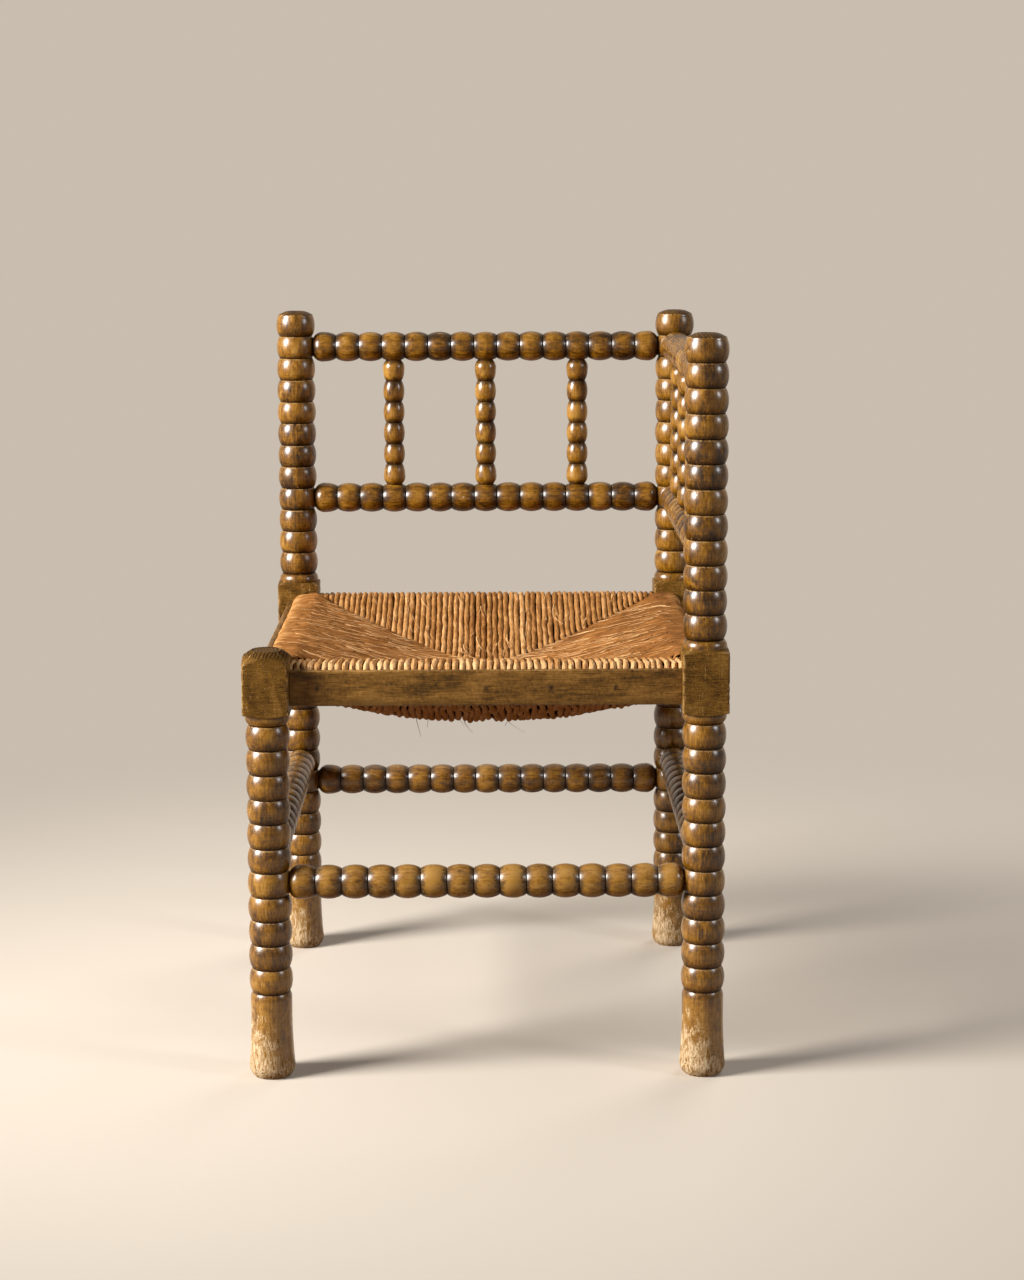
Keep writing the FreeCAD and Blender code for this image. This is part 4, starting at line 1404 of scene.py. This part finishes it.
@dataclass
class SeatEdging:
    """The thin nailed boards between the seat blocks, and the bare rails inside the rush. Millimetres."""

    strip_finish: StripWood
    iron: NailIron
    rail_finish: SeatRailWood
    half_length: float = 183.7
    inner_face: float = 210.0
    thickness: float = 6.0
    bottom: float = 360.5
    height: float = 34.0
    arris: float = 1.1
    nail_places: tuple[float, ...] = (-158.2, 0.0, 60.7, 121.4)
    nail_radius: float = 1.7
    nail_sink: float = 0.25
    nail_outline: tuple[Point, ...] = (
        (0.275, -14.0), (0.4, -13.0), (0.8, -0.9), (1.0, -0.62), (1.04, -0.3), (0.97, 0.02), (0.7, 0.16),
        (0.35, 0.2),
    )
    nail_waver: float = 0.05
    nail_wave: float = 1.4
    nail_around: int = 20
    arris_fade: Point = (0.1, 0.9)
    dent_wave: float = 26.0
    dent_slant: float = 0.4
    dent_from: float = 0.2
    dent_depth: float = 0.35
    sag: float = 0.35
    face_depth: float = 0.12
    face_waves: Point = (70.0, 40.0)
    nail_shade_stain: Point = (1.2, 2.8)
    low_stain: Point = (1.0, 15.0)
    step_length: float = 2.4
    rings: int = 160
    strip_seed: int = 700
    nail_seed: int = 760

    def section(self) -> np.ndarray:
        """The rounded outline of a board's end.

        Returns:
            Depth outwards and height from the bottom edge of each point.
        """
        corners = ((self.thickness, 0.0, -90), (self.thickness, self.height, 0), (0.0, self.height, 90),
                   (0.0, 0.0, 180))
        points = []
        for depth, level, start in corners:
            inward = -self.arris if depth else self.arris
            downward = -self.arris if level else self.arris
            centre = np.array([depth + inward, level + downward])
            turns = np.radians(np.linspace(start, start + 90, 5))
            points.append(centre + self.arris * np.stack([np.cos(turns), np.sin(turns)], 1))
        outline = np.concatenate(points)
        following = np.roll(outline, -1, axis=0)
        finer = []
        for here, there in zip(outline, following):
            steps = max(1, int(np.linalg.norm(there - here) // self.step_length))
            finer += [here + (there - here) * step / steps for step in range(steps)]
        return np.array(finer)

    def build_strips(self, material: bpy.types.Material) -> None:
        """Make the four boards, a little uneven, dented at their arrises and marked there pale as wear and
        painted highlight.

        Args:
            material: Their finish.
        """
        section = self.section()
        for side in Side:
            rng = np.random.default_rng(self.strip_seed + side.value)
            along = np.linspace(-self.half_length, self.half_length, self.rings)[:, None]
            depth, level = section[None, :, 0] + 0 * along, section[None, :, 1] + 0 * along
            near_face = np.minimum(depth, self.thickness - depth)
            near_edge = np.minimum(level, self.height - level)
            arris = smooth(self.arris - np.maximum(near_face, near_edge), *self.arris_fade)
            dent = Ripple(rng, self.dent_wave, waves=8)(along + self.dent_slant * level)
            dent = np.maximum(dent, self.dent_from) - self.dent_from
            level = level + np.where(level > self.height / 2, -1, 1) * arris * self.dent_depth * dent
            sag = self.sag * np.sin(math.pi * (along / self.half_length + 1) / 2) * (level > self.height / 2)
            hollow = np.abs(Ripple(rng, *self.face_waves)(along, level))
            depth = np.maximum(depth - self.face_depth * hollow, 0)
            points = np.stack([along + 0 * depth, -self.inner_face - depth, self.bottom + level - sag], -1)
            # Dark ring round each nail: iron marks and painted shade of its recess.
            beside = [np.hypot(along - place, level - self.height / 2) for place in self.nail_places]
            spot = 1 - smooth(np.min(beside, axis=0), *self.nail_shade_stain)
            layers = {
                "grain_place": np.stack([depth, level, along + 0 * depth], -1) * MM + rng.uniform(0, 3, 3),
                "marks": np.stack([spot, 1 - smooth(level, *self.low_stain), arris], -1),
            }
            mesh = GridMesh()
            mesh.add_tube(side.turned(points), layers)
            mesh.make(f"worn_{side.label}_strip", material, self.strip_finish.slot,
                      f"{side.label}_edging_strip")

    def build_nails(self, material: bpy.types.Material) -> None:
        """Make the sunk heads of the sixteen nails with their shanks.

        Args:
            material: Their finish.
        """
        mesh = GridMesh()
        turns = np.arange(self.nail_around) * 2 * math.pi / self.nail_around
        outside = self.inner_face + self.thickness - self.nail_sink
        middle = self.bottom + self.height / 2
        outline = np.array(self.nail_outline)
        radius = self.nail_radius * outline[:, :1]
        for side in Side:
            rng = np.random.default_rng(self.nail_seed + side.value)
            for place in self.nail_places:
                ring = radius * (1 + self.nail_waver * Ripple(rng, self.nail_wave)(turns)[None, :])
                depth = outside + outline[:, 1:] + 0 * ring
                points = np.stack([place + ring * np.cos(turns), -depth, middle + ring * np.sin(turns)], -1)
                mesh.add_tube(side.turned(points), {})
        mesh.make("sunk_strip_nails", material, self.iron.slot, "strip_nails")

    def build(self) -> None:
        """Make boards and nails, and dress the seat rails."""
        self.build_strips(self.strip_finish.material())
        self.build_nails(self.iron.material())
        bare = self.rail_finish.material()
        for side in Side:
            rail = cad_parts[f"{side.label}_seat_rail"]
            rail.data.materials.clear()
            rail.data.materials.append(bare)
            log.info("%s: dressed", rail.name)


class Weave(Enum):
    """How the strands of a panel have worn."""

    CORDED = "corded"
    MATTED = "matted"


@dataclass(frozen=True)
class StrandLine:
    """The line that a strand follows, and how it is worn at each place along it."""

    points: np.ndarray
    normal: np.ndarray
    along: np.ndarray
    from_end: np.ndarray
    under: np.ndarray
    flat: np.ndarray
    roll: np.ndarray


@dataclass(frozen=True)
class StrandShape:
    """How a strand of rush is laid, twisted and worn. Millimetres, and shares of its half width."""

    around: int = 12
    ring_spacing: float = 0.8
    corded_stride: int = 3
    matted_stride: int = 4
    mitre_lap: float = 2.5
    width_share: float = 0.47
    lump: float = 0.03
    lump_wave: float = 13.0
    lump_tone: float = 0.05
    wander: float = 0.30
    wander_under: float = 0.9
    wander_waves: Point = (46.0, 62.0)
    own_wander: float = 0.10
    own_wave: float = 34.0
    lift: float = 0.22
    lift_waves: Point = (40.0, 55.0)
    own_lift: float = 0.20
    own_lift_wave: float = 40.0
    slack: float = 1.1
    slack_drop: float = 0.4
    slack_wave: float = 38.0
    slack_reach: float = 25.0
    dive_depth: float = 5.5
    dive_reach: float = 8.0
    dive_bend: float = 1.3
    end_narrowing: float = 0.35
    end_reach: float = 5.0
    flat_away: float = 206.0
    flat_fade: float = 12.0
    widening: float = 0.36
    flattening: float = 0.5
    twist_length: float = 30.0
    twist_spread: float = 4.0
    twist_waves: Point = (90.0, 50.0)
    two_lobes: Triple = (0.045, 0.03, 0.07)
    five_lobes: Point = (0.04, 0.02)
    roll_from: Point = (186.0, 198.0)
    roll_tone: float = 0.30
    roll_spread: float = 3.2
    spread_from: Point = (178.0, 208.0)
    crown_reach: Point = (-0.60, 0.55)
    grain_slant: float = 0.12
    grain_shift: Point = (37.0, 61.0)


@dataclass(frozen=True)
class FibreShape:
    """Sizes of one kind of thin broken fibre, in millimetres. Pairs are the least and the most."""

    away: Point
    across: float
    length: Point
    lean: float
    thickness: Point
    rings: int = 9
    taper: float = 0.6


@dataclass
class RushSeat:
    """The four woven panels of the seat and the stuffing between their layers. Millimetres."""

    rush: RushFinish
    stuffing: StuffingFinish
    rail_inside: float = 184.0
    outer_face: float = 210.0
    rim_top: float = 400.0
    rim_bottom: float = 360.0
    rim_round: float = 8.0
    dish: float = 40.0
    sag: float = 55.0
    strand_pitch: tuple[float, float, float, float] = (6.3, 5.6, 5.9, 5.6)
    strand_tone: tuple[float, float, float, float] = (-0.02, -0.22, -0.10, -0.05)
    tone_spread: float = 0.11
    place_spread: float = 0.30
    shape: StrandShape = StrandShape()
    between_fall: float = 47.0
    hump_height: float = 3.2
    hump_across: Point = (168.0, 22.0)
    hump_away: Point = (186.0, 16.0)
    hump_above: float = 385.0
    loose: FibreShape = FibreShape((30.0, 196.0), 0.92, (8.0, 40.0), 0.25, (0.22, 0.5))
    loose_corded: int = 60
    loose_matted: int = 190
    loose_inset: float = 0.94
    loose_margin: float = 3.0
    loose_rise: Point = (0.2, 2.6)
    loose_tone: Point = (0.1, 0.6)
    hanging: FibreShape = FibreShape((40.0, 120.0), 0.8, (7.0, 17.0), 0.7, (0.25, 0.45))
    hanging_count: int = 5
    hanging_bend: float = 1.6
    hanging_drift: float = 0.3
    hanging_hold: float = 1.5
    centre_gap: float = 14.0
    layer: float = 6.3
    pad_gap: Point = (4.0, 1.2)
    pad_rings: int = 60
    pad_around: int = 72
    pad_share: float = 0.985
    pad_fullness: float = 0.45
    pad_lumps: Point = (0.7, 0.35)
    pad_lump_wave: float = 38.0
    pad_lump_range: Point = (0.1, 1.6)
    panel_seed: int = 810
    pad_seed: int = 860

    def bowl(self, away: np.ndarray, rim: float, depth: float) -> np.ndarray:
        """Height of a dished line: straight from the rim, then an arc level at the middle.

        Args:
            away: Distance from the middle of the seat.
            rim: Height at the rail.
            depth: Fall from the rail to the middle.

        Returns:
            The height at each distance.
        """
        bend, drop = self.rail_inside / 2, depth / 3
        radius = (bend**2 + drop**2) / (2 * drop)
        inner = rim - depth + radius - np.sqrt(np.maximum(radius**2 - np.minimum(away, bend) ** 2, 0))
        outer = rim - (self.rail_inside - away) * (depth - drop) / bend
        return np.where(away < bend, inner, np.minimum(outer, rim))

    def route(self) -> tuple[np.ndarray, np.ndarray]:
        """The surface of a panel from the middle below, round the rail, to the middle above.

        Returns:
            Points and outward normals of the line, as distance from the middle and height.
        """
        inside = np.linspace(0.0, self.rail_inside, 120)
        turn = self.rim_round
        under = np.stack([inside, self.bowl(inside, self.rim_bottom, self.sag)], 1)
        over = np.stack([inside, self.bowl(inside, self.rim_top, self.dish)], 1)[::-1]
        quarter = np.radians(np.linspace(-90, 0, 9))
        corner = np.stack([np.cos(quarter), np.sin(quarter)], 1) * turn
        low = corner + [self.outer_face - turn, self.rim_bottom + turn]
        high = (corner * [1, -1])[::-1] + [self.outer_face - turn, self.rim_top - turn]
        line = np.concatenate([under, low, high, over])
        gaps = np.linalg.norm(np.diff(line, axis=0), axis=1)
        along = np.concatenate([[0], np.cumsum(gaps)])
        even = np.arange(0, along[-1], self.shape.ring_spacing)
        points = np.stack([np.interp(even, along, line[:, 0]), np.interp(even, along, line[:, 1])], 1)
        tangent = np.gradient(points, axis=0)
        kernel = np.ones(7) / 7
        padded = np.pad(tangent, ((3, 3), (0, 0)), mode="edge")
        tangent = np.stack([np.convolve(padded[:, axis], kernel, "valid") for axis in (0, 1)], 1)
        tangent /= np.linalg.norm(tangent, axis=1)[:, None]
        return points, np.stack([tangent[:, 1], -tangent[:, 0]], 1)

    def strand_line(self, side: Side, weave: Weave, across: float,
                    route: tuple[np.ndarray, np.ndarray]) -> StrandLine:
        """The part of a panel's route that one strand follows, from the mitre below to the mitre above.

        Args:
            side: The panel's side.
            weave: How it has worn.
            across: The strand's place along the rail.
            route: The line of the panel's surface, and its normals.

        Returns:
            The strand's line.
        """
        shape = self.shape
        points, normals = route
        stride = shape.matted_stride if weave is Weave.MATTED else shape.corded_stride
        kept = np.flatnonzero(points[:, 0] >= abs(across) - shape.mitre_lap)[::stride]
        line = points[kept]
        along = np.arange(len(kept)) * shape.ring_spacing * stride
        between = self.bowl(line[:, 0], (self.rim_top + self.rim_bottom) / 2, self.between_fall)
        upper = smooth(line[:, 1] - between, -3, 3)
        under = smooth(1 - upper, 0.2, 0.9)
        flat, roll = 0 * along, 0 * along
        if weave is Weave.MATTED:
            inside = smooth(shape.flat_away - line[:, 0], 0, shape.flat_fade)
            flat = (1 - smooth(under, 0.0, 0.5)) * inside
        if side is Side.FRONT:
            roll = smooth(line[:, 0], *shape.roll_from) * (1 - under)
        from_end = np.minimum(along, along[-1] - along)
        return StrandLine(line, normals[kept], along, from_end, under, flat, roll)

    def strand(self, mesh: GridMesh, side: Side, weave: Weave, across: float, number: int, pitch: float,
               fields: dict[str, Ripple], rng: np.random.Generator,
               route: tuple[np.ndarray, np.ndarray]) -> None:
        """Add one strand from the mitre below, round the rail, to the mitre above.

        Args:
            mesh: The panel's mesh.
            side: The panel's side.
            weave: How it has worn.
            across: The strand's place along the rail.
            number: Its number in the panel.
            pitch: The spacing of the strands.
            fields: Noise that neighbours share.
            rng: Source of its own faults.
            route: The line of the panel's surface, and its normals.
        """
        shape = self.shape
        strand = self.strand_line(side, weave, across, route)
        line, normal, along, from_end = strand.points, strand.normal, strand.along, strand.from_end
        under, flat, roll = strand.under, strand.flat, strand.roll
        station = across + 0 * along
        dive = shape.dive_depth * (1 - smooth(from_end, 0.0, shape.dive_reach)) ** shape.dive_bend
        own = Ripple(rng, shape.own_wave)(along)
        lump = Ripple(rng, shape.lump_wave)(along)
        wander = (shape.wander + shape.wander_under * under) * fields["wander"](station, along)
        wander = wander + shape.own_wander * own * (1 - shape.flattening * flat)
        if side is Side.FRONT:
            spread = shape.roll_spread * across / self.rail_inside
            wander = wander + spread * smooth(line[:, 0], *shape.spread_from)
        lift = shape.lift * fields["lift"](station, along)
        lift = lift + shape.own_lift * Ripple(rng, shape.own_lift_wave)(along) - dive
        slack = shape.slack * Ripple(rng, shape.slack_wave)(along) - shape.slack_drop
        lift = lift + under * slack * smooth(from_end, 0, shape.slack_reach)
        half = shape.width_share * pitch * (1 + shape.lump * lump)
        past_end = smooth(from_end, 0, shape.end_reach)
        wide = half * (1 + shape.widening * flat) * (1 - shape.end_narrowing * (1 - past_end))
        deep = half * (1 - shape.flattening * flat)
        lean = fields["twist"](station, along * 0 + 1)
        turns = np.arange(shape.around) * 2 * math.pi / shape.around - math.pi / 2
        twist = along / (shape.twist_length + shape.twist_spread * lean) * math.pi + rng.uniform(0, 6.3)
        from_twist = turns[None, :] - twist[:, None]
        round_two, flat_two, roll_two = shape.two_lobes
        round_five, flat_five = shape.five_lobes
        lobes = 1 + (round_two - flat_two * flat + roll_two * roll)[:, None] * np.cos(2 * from_twist)
        lobes = lobes + (round_five - flat_five * flat)[:, None] * np.cos(5 * from_twist + 1.0)
        hump = self.hump(across, line) if weave is Weave.MATTED else 0 * along
        middle = line + normal * (lift + hump - deep)[:, None]
        sideways = wide[:, None] * np.cos(turns) * lobes
        outward = deep[:, None] * np.sin(turns) * lobes
        place = across + wander[:, None] - sideways
        away = middle[:, :1] + normal[:, :1] * outward
        height = middle[:, 1:] + normal[:, 1:] * outward
        crown = smooth(np.sin(turns)[None, :] + 0 * along[:, None], *shape.crown_reach) * past_end[:, None]
        around = (turns + math.pi / 2) * pitch / 2 + along[:, None] * shape.grain_slant
        tone = rng.normal(self.strand_tone[side.value], self.tone_spread)
        tone = tone + shape.lump_tone * lump + shape.roll_tone * roll
        shift_around, shift_along = shape.grain_shift
        layers = {
            "strand_place": np.stack([around + number * shift_around,
                                      along[:, None] + 0 * around + number * shift_along,
                                      np.full_like(around, number)], -1) * MM,
            "marks": np.stack([crown, under[:, None] + 0 * crown, tone[:, None] + 0 * crown], -1),
            "matting": flat[:, None] + 0 * crown,
        }
        mesh.add_tube(side.turned(np.stack([place, -away, height], -1)), layers)

    def hump(self, across: float, line: np.ndarray) -> np.ndarray:
        """How far the matted rush swells up beside the blocks.

        Args:
            across: The strand's place along the rail.
            line: The strand's line, as distance from the middle and height.

        Returns:
            The swelling at each point.
        """
        place, width = self.hump_across
        away, reach = self.hump_away
        near = math.exp(-(((abs(across) - place) / width) ** 2))
        swelling = np.exp(-(((line[:, 0] - away) / reach) ** 2))
        return self.hump_height * near * swelling * (line[:, 1] > self.hump_above)

    def fibre(self, mesh: GridMesh, side: Side, rings: np.ndarray, number: int, along: np.ndarray,
              under: float, tone: float) -> None:
        """Add one thin broken fibre.

        Args:
            mesh: The panel's mesh.
            side: The panel's side.
            rings: The points of its rings.
            number: Its number.
            along: The place of each ring along it.
            under: How much it belongs to the underside, from 0 to 1.
            tone: How much lighter it is.
        """
        whole = np.ones(rings.shape[:2])
        layers = {
            "strand_place": np.stack([whole * number, along[:, None] * whole, whole * number], -1) * MM,
            "marks": np.stack([whole, under * whole, tone * whole], -1),
            "matting": 0 * whole,
        }
        mesh.add_tube(side.turned(rings), layers)

    def loose_fibres(self, mesh: GridMesh, side: Side, count: int, rng: np.random.Generator) -> None:
        """Add thin broken fibres that lie on the upper face of a panel.

        Args:
            mesh: The panel's mesh.
            side: The panel's side.
            count: How many.
            rng: Source of their places.
        """
        shape = self.loose
        turns = np.arange(4) * math.pi / 2
        for number in range(count):
            start = rng.uniform(*shape.away)
            across = rng.uniform(-shape.across, shape.across) * start * self.loose_inset
            length, slant = rng.uniform(*shape.length), rng.normal(0, shape.lean)
            share = np.linspace(0, 1, shape.rings)
            away = start - length * share
            place = across + slant * length * share + 0.8 * np.sin(share * rng.uniform(2, 6))
            inside = away > np.abs(place) + self.loose_margin
            if inside.sum() < 4:
                continue
            away, place, share = away[inside], place[inside], share[inside]
            height = self.bowl(away, self.rim_top, self.dish) + 0.1 + rng.uniform(*self.loose_rise) * share**3
            thin = (rng.uniform(*shape.thickness) * (1 - shape.taper * share))[:, None]
            rings = np.stack([place[:, None] + thin * 1.5 * np.cos(turns), -(away[:, None] + 0 * turns),
                              height[:, None] + thin * np.sin(turns)], -1)
            self.fibre(mesh, side, rings, number, -away, 0.0, rng.uniform(*self.loose_tone))

    def hanging_fibres(self, mesh: GridMesh, side: Side, count: int, rng: np.random.Generator) -> None:
        """Add thin broken fibres that hang from the underside of a panel.

        Args:
            mesh: The panel's mesh.
            side: The panel's side.
            count: How many.
            rng: Source of their places.
        """
        shape = self.hanging
        turns = np.arange(4) * math.pi / 2
        share = np.linspace(0, 1, shape.rings)
        for number in range(count):
            start = rng.uniform(*shape.away)
            across = rng.uniform(-shape.across, shape.across) * start
            length, bend = rng.uniform(*shape.length), rng.normal(0, shape.lean)
            place = across + bend * length * share**self.hanging_bend
            away = start + rng.normal(0, self.hanging_drift) * length * share
            height = self.bowl(away, self.rim_bottom, self.sag) + self.hanging_hold - length * share
            thin = (rng.uniform(*shape.thickness) * (1 - shape.taper * share))[:, None]
            rings = np.stack([place[:, None] + thin * np.sin(turns), -away[:, None] + thin * np.cos(turns),
                              height[:, None] + 0 * turns], -1)
            self.fibre(mesh, side, rings, number, height, 0.4, 0.2)

    def build_panels(self, material: bpy.types.Material) -> None:
        """Make the four panels strand by strand.

        Args:
            material: Their finish.
        """
        route = self.route()
        for side in Side:
            rng = np.random.default_rng(self.panel_seed + side.value)
            count = round(2 * self.rail_inside / self.strand_pitch[side.value])
            pitch = 2 * self.rail_inside / count
            weave = Weave.CORDED if side.along_x else Weave.MATTED
            fields = {
                "wander": Ripple(rng, *self.shape.wander_waves),
                "lift": Ripple(rng, *self.shape.lift_waves),
                "twist": Ripple(rng, *self.shape.twist_waves),
            }
            mesh = GridMesh()
            for number in range(count):
                across = -self.rail_inside + (number + 0.5) * pitch + rng.normal(0, self.place_spread)
                self.strand(mesh, side, weave, across, number, pitch, fields, rng, route)
            loose = self.loose_matted if weave is Weave.MATTED else self.loose_corded
            self.loose_fibres(mesh, side, loose, rng)
            self.hanging_fibres(mesh, side, self.hanging_count, rng)
            mesh.make(f"woven_{side.label}_rush", material, self.rush.slot, f"{side.label}_rush_panel")

    def build_stuffing(self, material: bpy.types.Material) -> None:
        """Make the lumpy pads between the two layers of rush.

        Args:
            material: Their finish.
        """
        for side in Side:
            rng = np.random.default_rng(self.pad_seed + side.value)
            lumps = Ripple(rng, self.pad_lump_wave, self.pad_lump_wave)
            away = np.linspace(self.centre_gap + self.pad_gap[0], self.rail_inside - self.pad_gap[1],
                               self.pad_rings)
            turns = np.arange(self.pad_around) * 2 * math.pi / self.pad_around
            across = np.cos(turns)[None, :] * (away - self.centre_gap)[:, None] * self.pad_share
            top = self.bowl(away, self.rim_top - self.layer, self.dish)
            bottom = self.bowl(away, self.rim_bottom + self.layer, self.sag)
            lift = np.sign(np.sin(turns)) * np.abs(np.sin(turns)) ** self.pad_fullness
            middle, half = (top + bottom) / 2, (top - bottom) / 2
            rough = self.pad_lumps[0] + self.pad_lumps[1] * lumps(across, away[:, None] + 0 * across)
            inset = np.clip(rough, *self.pad_lump_range)
            height = middle[:, None] + (half[:, None] - inset) * lift[None, :]
            points = np.stack([across, -(away[:, None] + 0 * across), height], -1)
            mesh = GridMesh()
            mesh.add_tube(side.turned(points), {})
            pad = mesh.make(f"packed_{side.label}_stuffing", material, self.stuffing.slot,
                            f"{side.label}_stuffing")

    def build(self) -> None:
        """Make stuffing and panels."""
        self.build_stuffing(self.stuffing.material())
        self.build_panels(self.rush.material())


@dataclass(frozen=True)
class Lamp:
    """A soft area lamp, placed round the chair as the camera sees it, which gloss may or may not mirror."""

    name: str
    azimuth: float
    elevation: float
    distance: float
    width: float
    height: float
    power: float
    colour: Colour
    mirrored: bool = True

    def build(self, target: Vector) -> None:
        """Make the lamp, facing the target.

        Args:
            target: What it faces, in metres.
        """
        turn, rise = math.radians(self.azimuth), math.radians(self.elevation)
        toward = Vector((math.sin(turn) * math.cos(rise), -math.cos(turn) * math.cos(rise), math.sin(rise)))
        light = bpy.data.lights.new(self.name, "AREA")
        light.shape = "ELLIPSE"
        light.size, light.size_y = self.width, self.height
        light.energy, light.color = self.power, self.colour
        lamp = bpy.data.objects.new(self.name, light)
        lamp.location = target + toward * self.distance
        lamp.rotation_euler = toward.to_track_quat("Z", "Y").to_euler()
        lamp.visible_glossy = self.mirrored
        bpy.context.scene.collection.objects.link(lamp)


@dataclass(frozen=True)
class Studio:
    """Plain pale floor, soft lamps, pale surroundings and the camera."""

    lens: float = 70.53
    sensor: float = 36.0
    shift: float = -0.1
    yaw: float = -0.0081
    pitch: float = 0.1316
    roll: float = 0.0031
    place: Triple = (0.00638, -2.52346, 0.84899)
    floor_seen: Colour = (0.64, 0.57, 0.49)
    floor_lit: Colour = (0.18, 0.12, 0.08)
    wall: Colour = (0.58, 0.51, 0.43)
    dim: Colour = (0.20, 0.177, 0.152)
    wall_reach: Point = (0.1, 0.75)
    ambient: Colour = (0.052, 0.050, 0.048)
    lamps: tuple[Lamp, ...] = (
        Lamp("key_lamp", -69.0, 24.0, 3.1, 1.25, 1.45, 224.0, (1.0, 0.97, 0.93)),
        Lamp("back_lamp", 146.0, 20.0, 3.1, 2.2, 1.6, 52.0, (1.0, 0.97, 0.94), mirrored=False),
        Lamp("fill_lamp", 64.0, 24.0, 3.1, 0.50, 0.62, 21.0, (0.97, 0.98, 1.0)),
    )
    lamp_target: Triple = (0.0, 0.0, 0.38)
    floor_reach: float = 30.0
    floor_fade: Point = (0.30, 1.25)
    room_fade: Point = (2.0, 9.0)

    def build_camera(self) -> None:
        """Make the camera at the photograph's viewing angle."""
        right = Vector((math.cos(self.yaw), math.sin(self.yaw), 0.0))
        ahead = Vector((-math.sin(self.yaw), math.cos(self.yaw), 0.0))
        up = Vector((0.0, 0.0, 1.0))
        view = ahead * math.cos(self.pitch) - up * math.sin(self.pitch)
        lifted = ahead * math.sin(self.pitch) + up * math.cos(self.pitch)
        camera_right = right * math.cos(self.roll) - lifted * math.sin(self.roll)
        camera_up = right * math.sin(self.roll) + lifted * math.cos(self.roll)
        data = bpy.data.cameras.new("photo_camera")
        data.lens, data.sensor_width, data.shift_y = self.lens, self.sensor, self.shift
        camera = bpy.data.objects.new("photo_camera", data)
        turn = Matrix((camera_right, camera_up, -view)).transposed()
        camera.matrix_world = Matrix.Translation(self.place) @ turn.to_4x4()
        bpy.context.scene.collection.objects.link(camera)
        bpy.context.scene.camera = camera

    def seen(self, shader: Shader) -> Wire:
        """Which rays see the surroundings.

        Args:
            shader: The material or world.

        Returns:
            1 for rays from the camera, from gloss and through glass, and 0 for the light on the chair.
        """
        path = shader.node("ShaderNodeLightPath").socket.node.outputs
        kinds = [Wire(shader, path[f"Is {kind} Ray"]) for kind in ("Camera", "Glossy", "Transmission")]
        total = kinds[0] + kinds[1] + kinds[2]
        return total.math("MINIMUM", total, 1.0)

    def room(self, shader: Shader, direction: Wire) -> Wire:
        """What is seen far off: the pale wall behind the chair, and the dimmer room on the other sides.

        Args:
            shader: The material or world.
            direction: The way that is looked, of unit length.

        Returns:
            The colour that way.
        """
        return shader.blend(shader.split(direction)[1].step(*self.wall_reach), self.dim, self.wall)

    def build_floor(self) -> None:
        """Make the floor, pale to the camera, with the chair's shadow on it."""
        reach = self.floor_reach
        corners = [(-reach, -reach, 0), (reach, -reach, 0), (reach, reach, 0), (-reach, reach, 0)]
        mesh = bpy.data.meshes.new("floor")
        mesh.from_pydata(corners, [], [(0, 1, 2, 3)])
        floor = bpy.data.objects.new("floor", mesh)
        bpy.context.scene.collection.objects.link(floor)
        paint = Shader(bpy.data.materials.new("floor_paint"))
        place = paint.node("ShaderNodeTexCoord", output="Object")
        distance = paint.node("ShaderNodeVectorMath", {"operation": "LENGTH"}, {0: place}, "Value")
        direction = paint.node("ShaderNodeVectorMath", {"operation": "NORMALIZE"}, {0: place})
        seen = self.seen(paint)
        far = distance.step(*self.floor_fade) * seen
        black = (0.0, 0.0, 0.0)
        colour = paint.blend(far, paint.blend(seen, self.floor_lit, self.floor_seen), black)
        ahead = distance.step(*self.room_fade)
        horizon = paint.blend(ahead, self.wall, self.room(paint, direction))
        mesh.materials.append(paint.surface_of(Base_Color=colour, Roughness=0.9, Specular_IOR_Level=0.0,
                                               Emission_Color=paint.blend(far, black, horizon),
                                               Emission_Strength=1.0))

    def build_world(self) -> None:
        """Make the surroundings: pale wall and dimmer room to the camera, weak even light on the chair."""
        sky = Shader(bpy.data.worlds.new("surroundings"))
        direction = sky.node("ShaderNodeTexCoord", output="Generated")
        colour = sky.blend(self.seen(sky), self.ambient, self.room(sky, direction))
        bpy.context.scene.world = sky.surface_of(Color=colour)

    def build(self) -> None:
        """Make camera, floor, lamps and surroundings."""
        self.build_camera()
        self.build_floor()
        self.build_world()
        for lamp in self.lamps:
            lamp.build(Vector(self.lamp_target))
        bpy.context.scene.view_settings.view_transform = "Standard"


def main() -> None:
    """Build the chair's pieces in order, then the studio."""
    logging.basicConfig(level=logging.INFO, format="%(name)s %(message)s")
    turned = TurnedWood()
    material = turned.material()
    Posts(turned).build(material)
    Sticks(turned).build(material)
    SeatEdging(StripWood(), NailIron(), SeatRailWood()).build()
    RushSeat(RushFinish(), StuffingFinish()).build()
    Studio().build()


if __name__ == "__main__":
    main()
